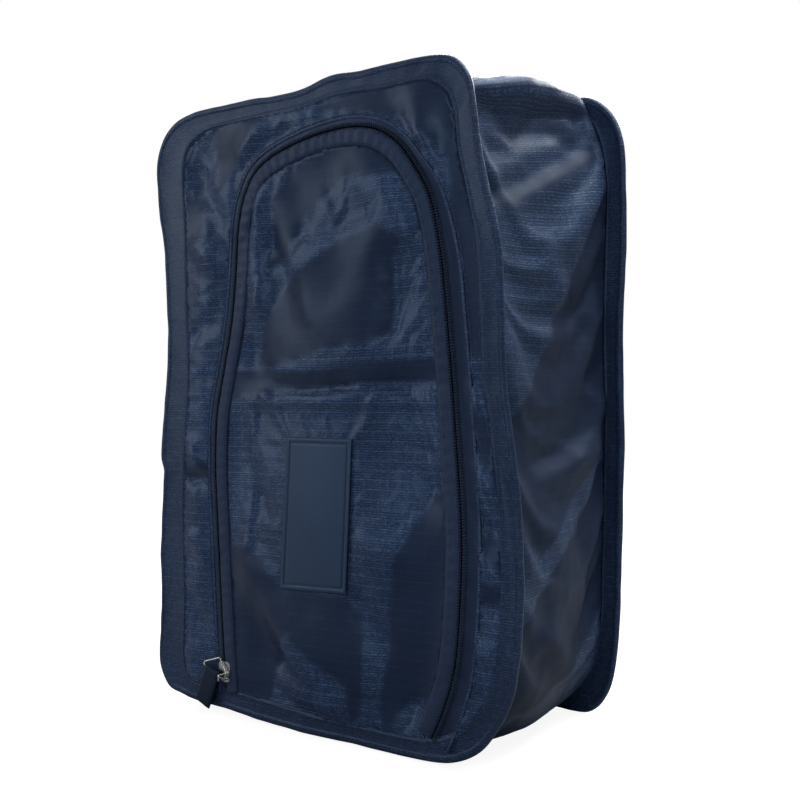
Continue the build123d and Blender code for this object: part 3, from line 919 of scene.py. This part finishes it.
def teeth(name, side):
    """One row of coil: a small rounded loop every 1.35 mm on one side of the centreline."""
    line, out = on_front(zip_line + zip_out * (COIL_PITCH * side), 1.0)
    along = np.column_stack([zip_out[:, 0], np.zeros(len(zip_out)), zip_out[:, 1]])
    middle = np.arange(0.6 + (0.33 if side > 0 else 0), lengths_along(line)[-1], COIL_PITCH)
    centres, ups, axes = (at_steps(line, values, middle) for values in (line, out, along))
    return dress(beads(name, centres, axes, ups, 2.5, 0.8, 0.95), "coil")


def zip_pieces():
    """The two tapes, the two rows of coil, the cloth's rolled edge and the stitches beside them."""
    tape = strip("frame_zip_tape_cloth", 0.25, FRAME_EDGE + 1.8, 0.2, 0.35, 9, 0.0, 21, 2.2)
    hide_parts("frame_zip_tape")
    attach(tape, "shell")
    tape = strip("door_zip_tape_cloth", -0.25, -9.3, 0.3, 1.4, 11, 0.45, 22)
    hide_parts("door_zip_tape")
    hinge_blend(tape)
    coil = teeth("frame_zip_coil_teeth", 1)
    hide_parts("frame_zip_coil")
    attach(coil, "shell")
    coil = teeth("door_zip_coil_teeth", -1)
    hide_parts("door_zip_coil")
    hinge_blend(coil)
    points, out = on_front(offset_zip(FRAME_EDGE + 0.3), 0.5)
    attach(dress(tube("frame_zip_lip", points, 0.9, 0.7, ups=out), "ripstop"), "shell")
    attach(stitches("zip", "frame_zip_stitches", *on_front(offset_zip(FRAME_EDGE + 2.0), 0.9)), "shell")
    hinge_blend(stitches("zip", "door_zip_stitches", *on_front(offset_zip(-7.4), 1.6)))


def tube(name, line, radius, squash=1.0, closed=False, ups=TO_FRONT):
    """A cord along a line in space, flattened by squash the way that ups faces."""
    line = np.asarray(line, float)
    t = tangents(line, closed)
    side = np.cross(t, np.broadcast_to(np.asarray(ups, float), line.shape))
    side /= np.linalg.norm(side, axis=1)[:, None]
    up = np.cross(side, t)
    rings = [
        line + radius * (math.cos(a) * side + math.sin(a) * squash * up)
        for a in np.linspace(0, 2 * math.pi, CORD_SIDES, endpoint=False)
    ]
    verts = np.stack(rings, axis=1).reshape(-1, 3)
    faces = grid_faces(len(line), CORD_SIDES, wrap_rows=closed, wrap_columns=True)
    if not closed:
        last = (len(line) - 1) * CORD_SIDES
        faces += [tuple(range(CORD_SIDES))[::-1], tuple(range(last, last + CORD_SIDES))]
    around = np.tile(np.arange(CORD_SIDES) * 0.8, len(line))
    uv = np.stack([around, np.repeat(lengths_along(line), CORD_SIDES)], axis=1)
    return make_mesh(name, verts, faces, uv)


# ------------------------------------------------------------------ fins


def fin_section(width):
    """The fin's cross-section: distances in from the rim, and heights off the fin's middle.

    It runs over the root's fold, the seam's thread, the cloth and the piping's step, and round the rim.
    """
    band = np.minimum(PIPING, 0.5 * width)
    thin, thick = 1.15, FIN_THICKNESS / 2
    outer = [
        (width + 2.0, thin - 0.6), (width + 0.9, thin + 0.2), (width + 0.1, thin + 0.75),
        (width - 0.8, thin + 0.65), (width - 1.5, thin + 0.1), (width - 2.2, thin),
        ((width + band) / 2, thin + 0.25), (band + 0.4, thin), (band, thin + 0.1),
        (band - 0.25, thick - 0.05), (band - 1.0, thick + 0.05), (band * 0.6, thick),
        (band * 0.3, thick + 0.05), (1.0 + 0 * band, thick - 0.1), (0.3 + 0 * band, thick * 0.6),
        (0 * band, 0.0),
    ]
    inner = [(d, -h) for d, h in outer[-2::-1]]
    return outer + inner[:-3] + [(width, -thin)]


def fin(name, rim, seam, y_middle, outside, root_shift, seed):
    """A bound seam that stands out round a panel: its root at the seam line, its edge at the rim."""
    width = np.linalg.norm(rim - seam, axis=1)
    sway = 1.1 * wobble(seed, 34, rim[:, 0], rim[:, 1]) + 0.5 * wobble(seed + 2, 11, rim[:, 0], rim[:, 1])
    rows, uv = [], []
    for d, h in fin_section(width):
        d = np.broadcast_to(d, width.shape)
        t = d / width
        flat = rim + (seam - rim) * t[:, None]
        inward = np.clip(t, 0, 1)
        shift = root_shift * inward**2
        y = y_middle + outside * (h + shift + sway * np.clip(1 - t, 0, 1))
        y = y + outside * 0.35 * np.sin(np.pi * inward) * wobble(seed + 5, 6, rim[:, 0], rim[:, 1], d)
        toward = shift / (PANEL_Y - CAMERA_AT[1])
        x = flat[:, 0] + (CAMERA_AT[0] - flat[:, 0]) * toward
        z = flat[:, 1] + (CAMERA_AT[2] - flat[:, 1]) * toward
        rows.append(np.stack([x, y, z], axis=1))
        uv.append(flat)
    verts = np.stack(rows, axis=1)
    verts[:, :, 2] = np.maximum(verts[:, :, 2], 0.0)
    faces = grid_faces(len(rim), len(rows), wrap_rows=True)
    if outside > 0:
        faces = [f[::-1] for f in faces]
    obj = make_mesh(name, verts.reshape(-1, 3), faces, np.stack(uv, axis=1).reshape(-1, 2))
    return obj, verts


def fins():
    """Both bound seams, with the cord in each and its two rows of stitches. Returns their points."""
    root = front_relief(front_seam[:, 0], front_seam[:, 1])
    half = FIN_THICKNESS / 2
    made = []
    for panel, rim, seam, middle, side, shift, seed in (
        ("front", front_rim, front_seam, FRONT_Y + half, -1, root, 31),
        ("back", back_rim, back_seam, BACK_Y - half, 1, 0.0, 37),
    ):
        obj, points = fin(panel + "_binding_tape", rim, seam, middle, side, shift, seed)
        made.append(points)
        dress(obj, "binding")
        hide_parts(panel + "_binding")
        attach(obj, "shell")
        core = points[:, RIM_COLUMN] * 0.6 + points[:, 11] * 0.2 + points[:, -6] * 0.2
        cord = dress(tube(panel + "_edge_cord_core", core, 0.9, closed=True), "cord")
        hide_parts(panel + "_edge_cord")
        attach(cord, "shell")
        for label, column in (("binding_stitches", PIPING_COLUMN), ("seam_stitches", SEAM_COLUMN)):
            line = np.vstack([points[:, column], points[:1, column]])
            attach(stitches("binding", f"{panel}_{label}", line, (0.0, float(side), 0.0)), "shell")
    return made


# ------------------------------------------------------------------ gusset and back

# Folds of the gusset's right side, in (Y, Z), seen from the right: start, end, half width, height.
SIDE_FOLDS = [
    ((-60, 276), (-30, 270), 9, -2.6), ((-30, 270), (56, 306), 9, -2.8), ((-28, 262), (54, 300), 8, 2.2),
    ((-11, 296), (-52, 300), 7, 2.0), ((-11, 296), (14, 322), 7, -2.0), ((-11, 296), (32, 300), 7, 1.8),
    ((-11, 296), (-30, 318), 7, -1.6), ((30, 318), (56, 296), 8, 1.8), ((56, 288), (-20, 178), 15, 3.0),
    ((-46, 250), (-30, 190), 11, 1.8), ((10, 246), (40, 200), 12, -2.4), ((58, 190), (38, 178), 7, -2.2),
    ((58, 168), (36, 176), 7, 2.0), ((-24, 139), (54, 159), 10, -2.6), ((-24, 128), (52, 146), 10, 2.2),
    ((-46, 176), (-26, 128), 9, -2.0), ((-44, 122), (-30, 66), 11, 2.0), ((20, 120), (46, 62), 14, -2.6),
    ((-20, 48), (16, 20), 9, -2.6), ((14, 20), (34, 28), 8, -2.2), ((-22, 60), (26, 34), 9, 2.0),
    ((40, 60), (56, 20), 9, 2.0), ((-40, 40), (10, 4), 10, 1.8),
]
TOP_FOLDS = [
    ((80, -40), (96, 0), 8, 2.0), ((70, 20), (100, 30), 8, -2.2), ((60, -30), (84, 10), 10, -1.6),
    ((-60, -20), (-20, 20), 12, 2.0), ((0, 30), (50, 10), 12, -2.0),
]


def gusset_start(front_edge, back_edge, out, parts):
    """The strip between the seams before it is crumpled: rows of points from front to back."""
    top, right, left, bottom = parts
    corner = 4 * (top * right) ** 2
    full = 5.0 * top**2 + 1.0 * right**2 + 7.5 * bottom**2
    rows = []
    for t in np.linspace(0, 1, GUSSET_COLUMNS):
        point = front_edge * (1 - t) + back_edge * t
        middle, rear = max(0.0, math.sin(math.pi * t)), max(0.0, math.sin(math.pi * t**1.5))
        swell = full * middle**0.7 + 10.5 * left**2 * middle**0.4 + 14.0 * corner * rear**0.5
        rows.append(point + out * swell[:, None])
    return np.stack(rows, axis=1)


def gusset_folds(x, y, z, parts):
    """How far the gusset's folds stand out."""
    top, right, left, _ = parts
    push = right[:, None] ** 2 * folded(y, z, SIDE_FOLDS)
    push += left[:, None] ** 2 * np.maximum(folded(-y, z, SIDE_FOLDS[4:]), 0)
    push += (top**2)[:, None] * folded(x, y, TOP_FOLDS)
    return push + (0.9 * wobble(51, 24, x, y, z) + 0.4 * wobble(52, 8, x, y, z))


def gusset(front_points, back_points):
    """The one long strip between the two seams: fuller in the middle, with the folds of a slack side."""
    flat_back = matching(back_seam, front_seam)
    back_y = np.full(len(flat_back), back_points[:, -1, 1].mean())
    back_edge = np.column_stack([flat_back[:, 0], back_y, flat_back[:, 1]])
    normal = left_normals(front_seam, True) * -1
    parts = [np.clip(side, 0, 1) for side in (normal[:, 1], normal[:, 0], -normal[:, 0], -normal[:, 1])]
    out = np.column_stack([normal[:, 0], np.zeros(len(normal)), normal[:, 1]])
    verts = gusset_start(front_points[:, -1], back_edge, out, parts)
    count, shares = len(verts), np.linspace(0, 1, GUSSET_COLUMNS)
    run = lengths_along(front_seam)
    uv = np.stack([np.column_stack([np.full(count, 118.0 * t), run]) for t in shares], axis=1)
    faces = grid_faces(count, GUSSET_COLUMNS, wrap_rows=True)
    obj = make_mesh("gusset_cloth", verts.reshape(-1, 3), faces, uv.reshape(-1, 2))
    held = np.zeros((count, GUSSET_COLUMNS))
    held[:, [0, -1]] = 1
    crumple(obj, held.ravel(), 0.02, frames=16, cap=3.5, bending=1.2)
    now = coordinates(obj).reshape(count, GUSSET_COLUMNS, 3)
    fade = np.sin(np.pi * shares) ** 0.35
    fade[[0, -1]] = 0
    x, y, z = now[:, :, 0], now[:, :, 1], now[:, :, 2]
    now = now + out[:, None, :] * (gusset_folds(x, y, z, parts) * fade)[:, :, None]
    now[:, :, 2] = np.maximum(now[:, :, 2], 1.0)
    set_coordinates(obj, now.reshape(-1, 3))
    on_right = (parts[1][:, None] > 0.7).repeat(GUSSET_COLUMNS, axis=1).ravel()
    # The gusset's smooth areas, on its right side only, are painted dark as shade.
    set_smooth_shaded(obj, smooth_shaded(y, z, SMOOTH_SHADED_SIDE) * on_right)
    dress(thicken(obj, CLOTH), "ripstop_side")
    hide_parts("gusset", "gusset_seam_tape")
    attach(obj, "shell")
    closing_seam(now)


def closing_seam(gusset_points):
    """The tape over the gusset's joining seam, inside the floor at the middle of the bag."""
    middle = gusset_points[:, GUSSET_COLUMNS // 2]
    floor_rows = gusset_points[(np.abs(middle[:, 0]) < 1.6) & (middle[:, 2] < 40)]
    if len(floor_rows):
        row = floor_rows[0][2:-2] + [0, 0, 1.0]
        tape = tube("gusset_closing_seam", row, 3.2, 0.2, ups=TO_TOP)
        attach(dress(tape, "binding"), "shell")


def back_panel():
    """The plain back: a little full, with some of the front's folds, mirrored."""
    flat, tris, edge = cut_sheet(back_seam, 4.0, 14)
    x, z = flat[:, 0], flat[:, 1]
    bulge = bump(x, z, 0, 165, 80, 110, 3.0) + bump(x, z, -30, 90, 40, 40, 1.5)
    bulge = bulge - bump(x, z, 30, 165, 60, 14, 1.5)
    rear_y = BACK_Y - FIN_THICKNESS / 2 + 0.6
    obj = make_mesh("back_fabric", np.stack([x, rear_y + bulge, z], axis=1), tris, uv=flat)
    crumple(obj, edge.astype(float), 0.02, frames=14, cap=4.0)
    now = coordinates(obj)
    now[:, 1] = np.minimum(now[:, 1], BACK_Y + 8)
    free = np.clip(distance_to(flat, resample(back_seam, 4, True)) / 8, 0, 1)
    now[:, 1] += folded(-x, z, FRONT_FOLDS[18:27]) * 0.6 * free
    set_coordinates(obj, now)
    dress(thicken(obj, CLOTH), "ripstop_side")
    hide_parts("back_panel")
    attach(obj, "shell")


# ------------------------------------------------------------------ label, pull, handle, divider


def label_patch():
    """A soft rubber patch, sewn on round its edge, with a sunk line for the stitches."""
    a, b, c, d = (np.array(p, float) for p in LABEL_CORNERS)
    edges = [0.0, 0.4, 1.0, 2.0, 2.5, 3.0, 3.5]
    wide, tall = np.linalg.norm(b - a), np.linalg.norm(d - a)

    def stops(length):
        inner = np.linspace(4.5, length - 4.5, 18)
        return np.concatenate([edges, inner, length - np.array(edges[::-1])]) / length

    us, vs = stops(wide), stops(tall)
    verts, uv = [], []
    for v in vs:
        for u in us:
            p = a * (1 - u) * (1 - v) + b * u * (1 - v) + c * u * v + d * (1 - u) * v
            near = min(u * wide, (1 - u) * wide, v * tall, (1 - v) * tall)
            height = LABEL_THICKNESS - 0.5 * max(0, 1 - near / 0.9) ** 2 - (0.45 if 2.2 < near < 3.2 else 0)
            verts.append(on_relief(p[0], p[1], height + 0.3))
            uv.append((u * wide, v * tall))
    obj = make_mesh("rubber_label", verts, grid_faces(len(vs), len(us)), uv)
    dress(thicken(obj, LABEL_THICKNESS + 1.6), "label")
    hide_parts("label_patch")
    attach(obj, "door")
    inset = 2.7
    loop = np.array([a + inset, b + (-inset, inset), c - inset, d + (inset, -inset), a + inset])
    line = resample(loop, 1.5)
    points = on_relief(line[:, 0], line[:, 1], LABEL_THICKNESS - 0.05)
    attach(stitches("label", "label_stitches", points, TO_FRONT), "door")


def metal_pull():
    """The slider and its ring keep their CAD shape, with the edges taken off."""
    for node in ("slider_body", "puller_ring"):
        obj = dress(frame["nodes"][node], "metal")
        obj.data.shade_smooth()
        add_modifier(obj, "BEVEL", width=0.25 * MM, segments=2, limit_method="ANGLE")
        add_modifier(obj, "EDGE_SPLIT", split_angle=math.radians(50))


def tab_height(away, across, length):
    """Half the tab's thickness, from how far a point is from its folded end and across its width (0 to 1)."""
    half = 1.0 + 0.62 * math.exp(-((away - 1.6) / 1.9) ** 2)
    stitch_dip = 0.35 * math.exp(-((away - 5.0) / 0.5) ** 2)
    round_end = math.sqrt(max(0.0, 1 - max(0, 1 - away / 1.4) ** 2))
    edge = 1 - abs(2 * across - 1) ** 8
    cut_end = 0.9 if away < length - 0.6 else 0.6
    return (half - stitch_dip) * max(0.05, round_end) * (0.35 + 0.65 * edge) * cut_end


def grid_border(rows, columns):
    """The indices round the edge of a grid of points, in order."""
    border = list(range(columns)) + [i * columns + columns - 1 for i in range(1, rows)]
    border += [(rows - 1) * columns + j for j in range(columns - 2, -1, -1)]
    return border + [i * columns for i in range(rows - 2, 0, -1)]


def fabric_tab():
    """The pull: a folded piece of tape that hangs from the ring, sewn across near its fold."""
    co = coordinates(frame["nodes"]["pull_tab"])
    middle = co.mean(0)
    _, _, axes = np.linalg.svd(co - middle, full_matrices=False)
    local = (co - middle) @ axes.T
    low, high = local.min(0), local.max(0)
    length, width = high[0] - low[0], high[1] - low[1]
    # the fold round the ring is the thicker end
    thick_high = np.abs(local[local[:, 0] > high[0] - 3.0][:, 2]).max()
    thick_low = np.abs(local[local[:, 0] < low[0] + 3.0][:, 2]).max()
    fold_high = thick_high > thick_low
    rows, columns = 40, 19
    verts, uv = [], []
    for side in (1, -1):
        for u in (i / (rows - 1) for i in range(rows)):
            for v in (j / (columns - 1) for j in range(columns)):
                away = length * (1 - u) if fold_high else length * u
                height = side * tab_height(away, v, length) * 0.95
                verts.append((low[0] + length * u, low[1] + width * v, height))
                uv.append((width * v, length * u))
    n, border = rows * columns, grid_border(rows, columns)
    faces = grid_faces(rows, columns)
    faces += [tuple(n + k for k in f[::-1]) for f in faces]
    faces += [(p, n + p, n + q, q) for p, q in zip(border, border[1:] + border[:1])]
    obj = make_mesh("fabric_tab", np.array(verts) @ axes + middle, faces, uv)
    dress(obj, "tab")
    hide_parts("pull_tab")
    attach(obj, "tab")
    seam = high[0] - 5.0 if fold_high else low[0] + 5.0
    for label, side in (("front", 1), ("back", -1)):
        line = [(seam, low[1] + width * t, side * 0.8) for t in np.linspace(0.08, 0.92, 20)]
        line = np.array(line) @ axes + middle
        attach(stitches("tab", "tab_stitches_" + label, line, axes[2] * side), "tab")


def webbing_half(name, side, low, high):
    """Half of the strap, from the middle of its arch to the end that is sewn down."""
    length, rows, columns = high[0], 40, 13
    rise = high[2] - low[2]
    half_width = (high[1] - low[1]) / 2
    verts, uv = [], []
    for i in range(rows):
        x = side * length * i / (rows - 1)
        lift = 0.5 + 0.5 * math.cos(math.pi * min(1, abs(x) / length))
        z = low[2] + 0.8 + (rise - 1.6) * lift
        for j in range(columns):
            v = j / (columns - 1)
            y = MID_Y + half_width * (2 * v - 1) * (1 - 0.05 * lift)
            verts.append((x, y, z - 0.5 * (2 * v - 1) ** 2))
            uv.append((half_width * 2 * v, abs(x)))
    faces = grid_faces(rows, columns)
    obj = make_mesh(name, verts, faces if side > 0 else [f[::-1] for f in faces], uv)
    dress(thicken(obj, 1.3, 0), "webbing")
    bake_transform(obj)
    return obj


def handle_end(side):
    """One sewn-down end of the handle, with its crossed box of stitches."""
    low, high = box_mm("handle_anchor_" + side)
    rows, columns = 12, 13
    x0, x1, z = low[0], high[0], high[2]
    verts, uv = [], []
    for i in range(rows):
        for j in range(columns):
            x, v = x0 + (x1 - x0) * i / (rows - 1), j / (columns - 1)
            y = low[1] + (high[1] - low[1]) * v
            verts.append((x, y, z - 0.4 * (2 * v - 1) ** 6))
            uv.append((x, y))
    obj = make_mesh("handle_end_" + side, verts, grid_faces(rows, columns), uv)
    dress(thicken(obj, 1.5), "webbing")
    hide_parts("handle_anchor_" + side)
    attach(obj, "shell")
    x0, x1 = x0 + 2, x1 - 2
    box = [(x0, -8), (x1, -8), (x1, 8), (x0, 8), (x0, -8), (x1, 8), (x1, -8), (x0, 8)]
    line = resample(np.array([(x, MID_Y + y, z + 0.15) for x, y in box]), 1.2)
    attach(stitches("handle", "handle_box_stitch_" + side, line, TO_TOP), "shell")


def handle():
    low, high = box_mm("handle_strap")
    left = webbing_half("handle_webbing_left", -1, low, high)
    webbing_half("handle_webbing_right", 1, low, high)
    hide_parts("handle_strap")
    handle_end("left")
    handle_end("right")


def divider_shelf(low, high, base_z, xs, ys):
    """The shelf's cloth, which sags between its tapes."""
    verts = []
    for y in ys:
        for x in xs:
            u = 2 * (x - low[0]) / (high[0] - low[0]) - 1
            v = (y - low[1]) / (high[1] - low[1])
            verts.append((x, y, base_z - 2.2 * (1 - u**4) * math.sin(math.pi * v)))
    verts = np.array(verts)
    uv = verts[:, :2]
    verts[:, 2] += 0.8 * wobble(61, 22, verts[:, 0], verts[:, 1])
    obj = make_mesh("divider_cloth", verts, grid_faces(len(ys), len(xs)), uv)
    dress(thicken(obj, 0.5, 0), "lining")
    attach(obj, "divider")
    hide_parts("divider_panel")


def divider_flap(label, side, edge_x, base_z, top_z, ys):
    """The shelf's turned-up side, which carries the hook strip."""
    rows, x = 9, side * edge_x
    verts = []
    for z in np.linspace(base_z, top_z, rows):
        for y in ys:
            verts.append((x + side * 0.4 * math.sin(y / 7.0) * (z - base_z) / 14, y, z))
    uv = [(p[2], p[1]) for p in verts]
    flap = make_mesh("divider_flap_" + label, verts, grid_faces(rows, len(ys)), uv)
    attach(dress(thicken(flap, 0.5, 0), "lining"), "divider")


def divider():
    """The shelf inside: its cloth and flaps, its bound front edge, its hook strips and its hinge tape."""
    low, high = box_mm("divider_panel")
    base_z = box_mm("divider_binding")[0][2] + 0.9
    xs, ys = np.linspace(low[0] + 1, high[0] - 1, 60), np.linspace(low[1] + 1, high[1] - 0.8, 40)
    divider_shelf(low, high, base_z, xs, ys)
    for label, side in (("left", -1), ("right", 1)):
        divider_flap(label, side, high[0] - 1, base_z, high[2], ys)
    roll = tube("divider_front_roll", [(x, low[1] + 0.6, base_z) for x in xs], 1.5, 0.8, ups=TO_TOP)
    dress(roll, "binding")
    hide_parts("divider_binding")
    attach(roll, "divider")
    line = [(x, low[1] + 3.0, base_z + 1.0) for x in xs]
    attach(stitches("divider", "divider_stitches", line, TO_TOP), "divider")
    for kind, body in (("hook", "divider"), ("loop", "shell")):
        for side in ("left", "right"):
            strip_piece(f"{kind}_strip_{side}", body)
    dress(frame["nodes"]["divider_hinge_tape"], "binding")


def strip_piece(node, body):
    """A hook or loop strip: its block, with a nap of short loops standing on the face that grips."""
    dress(frame["nodes"][node], "hook")
    low, high = box_mm(node)
    side = 1 if "right" in node else -1
    face = high[0] if (side > 0) == node.startswith("hook") else low[0]
    rng = np.random.default_rng(len(node) + side)
    ys = np.arange(low[1] + 1, high[1] - 1, 1.6)
    zs = np.arange(low[2] + 1, high[2] - 1, 1.6)
    centres = np.array([(face, y, z) for y in ys for z in zs])
    centres = centres + rng.uniform(-0.25, 0.25, (len(centres), 3)) * [0, 1, 1]
    axes = np.tile([1.0, 0, 0], (len(centres), 1)) + rng.uniform(-0.4, 0.4, (len(centres), 3))
    nap = beads(node + "_nap", centres, axes, np.tile(TO_TOP, (len(centres), 1)), 0.8, 0.35, 0.35)
    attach(dress(nap, "hook"), body)


# ------------------------------------------------------------------ studio


def camera():
    data = bpy.data.cameras.new("photo_camera")
    data.lens = LENS
    data.sensor_width = 36
    obj = bpy.data.objects.new("photo_camera", data)
    obj.location = Vector(CAMERA_AT) * MM
    az, el = math.radians(AZIMUTH), math.radians(ELEVATION)
    back = Vector((math.sin(az) * math.cos(el), -math.cos(az) * math.cos(el), math.sin(el)))
    turn = back.to_track_quat("Z", "Y")
    obj.rotation_euler = (turn @ Matrix.Rotation(math.radians(ROLL), 3, "Z").to_quaternion()).to_euler()
    bpy.context.scene.collection.objects.link(obj)
    bpy.context.scene.camera = obj


def softbox(name, at, aim, size, power):
    data = bpy.data.lights.new(name, "AREA")
    data.shape = "RECTANGLE"
    data.size, data.size_y = size
    data.energy = power
    obj = bpy.data.objects.new(name, data)
    obj.location = at
    obj.rotation_euler = (Vector(at) - Vector(aim)).to_track_quat("Z", "Y").to_euler()
    bpy.context.scene.collection.objects.link(obj)


def studio():
    """A flat white paper floor, and soft boxes whose edges show in the coated cloth."""
    material = bpy.data.materials.new("white_paper")
    material.use_nodes = True
    shader = material.node_tree.nodes["Principled BSDF"]
    shader.inputs["Base Color"].default_value = (0.24, 0.24, 0.24, 1)
    shader.inputs["Roughness"].default_value = 0.8
    lamp_seen(material.node_tree, shader.inputs["Emission Strength"], 0.0, 0.9)
    shader.inputs["Emission Color"].default_value = (1, 1, 1, 1)
    bpy.ops.mesh.primitive_plane_add(size=30, location=(0, 0, -0.0005))
    floor = bpy.context.object
    floor.name = "paper_floor"
    floor.data.materials.append(material)
    world = bpy.data.worlds.new("studio")
    world.use_nodes = True
    background = world.node_tree.nodes["Background"]
    background.inputs["Color"].default_value = (1, 1, 1, 1)
    lamp_seen(world.node_tree, background.inputs["Strength"], 0.3, 1.0)
    bpy.context.scene.world = world
    bpy.context.scene.view_settings.view_transform = "Standard"
    softbox("box_left", (-1.35, -1.1, 0.75), (0, 0, 0.16), (0.9, 1.1), 7)
    softbox("box_front", (0.35, -1.65, 0.6), (0, 0, 0.16), (0.5, 0.6), 5)
    softbox("box_top", (0.5, 0.3, 1.5), (0, 0, 0.25), (1.2, 0.9), 27)
    softbox("box_back", (-0.3, 1.3, 1.2), (0, 0, 0.3), (1.5, 0.7), 33)


def lamp_seen(tree, socket, lighting, shown):
    """One strength for what lights the bag, another for the plain white that the camera sees."""
    path = tree.nodes.new("ShaderNodeLightPath")
    mix = tree.nodes.new("ShaderNodeMapRange")
    mix.inputs["To Min"].default_value = lighting
    mix.inputs["To Max"].default_value = shown
    tree.links.new(path.outputs["Is Camera Ray"], mix.inputs["Value"])
    tree.links.new(mix.outputs["Result"], socket)


# ------------------------------------------------------------------ the whole bag

front_panels()
zip_pieces()
gusset(*fins())
back_panel()
label_patch()
metal_pull()
fabric_tab()
handle()
divider()
camera()
studio()
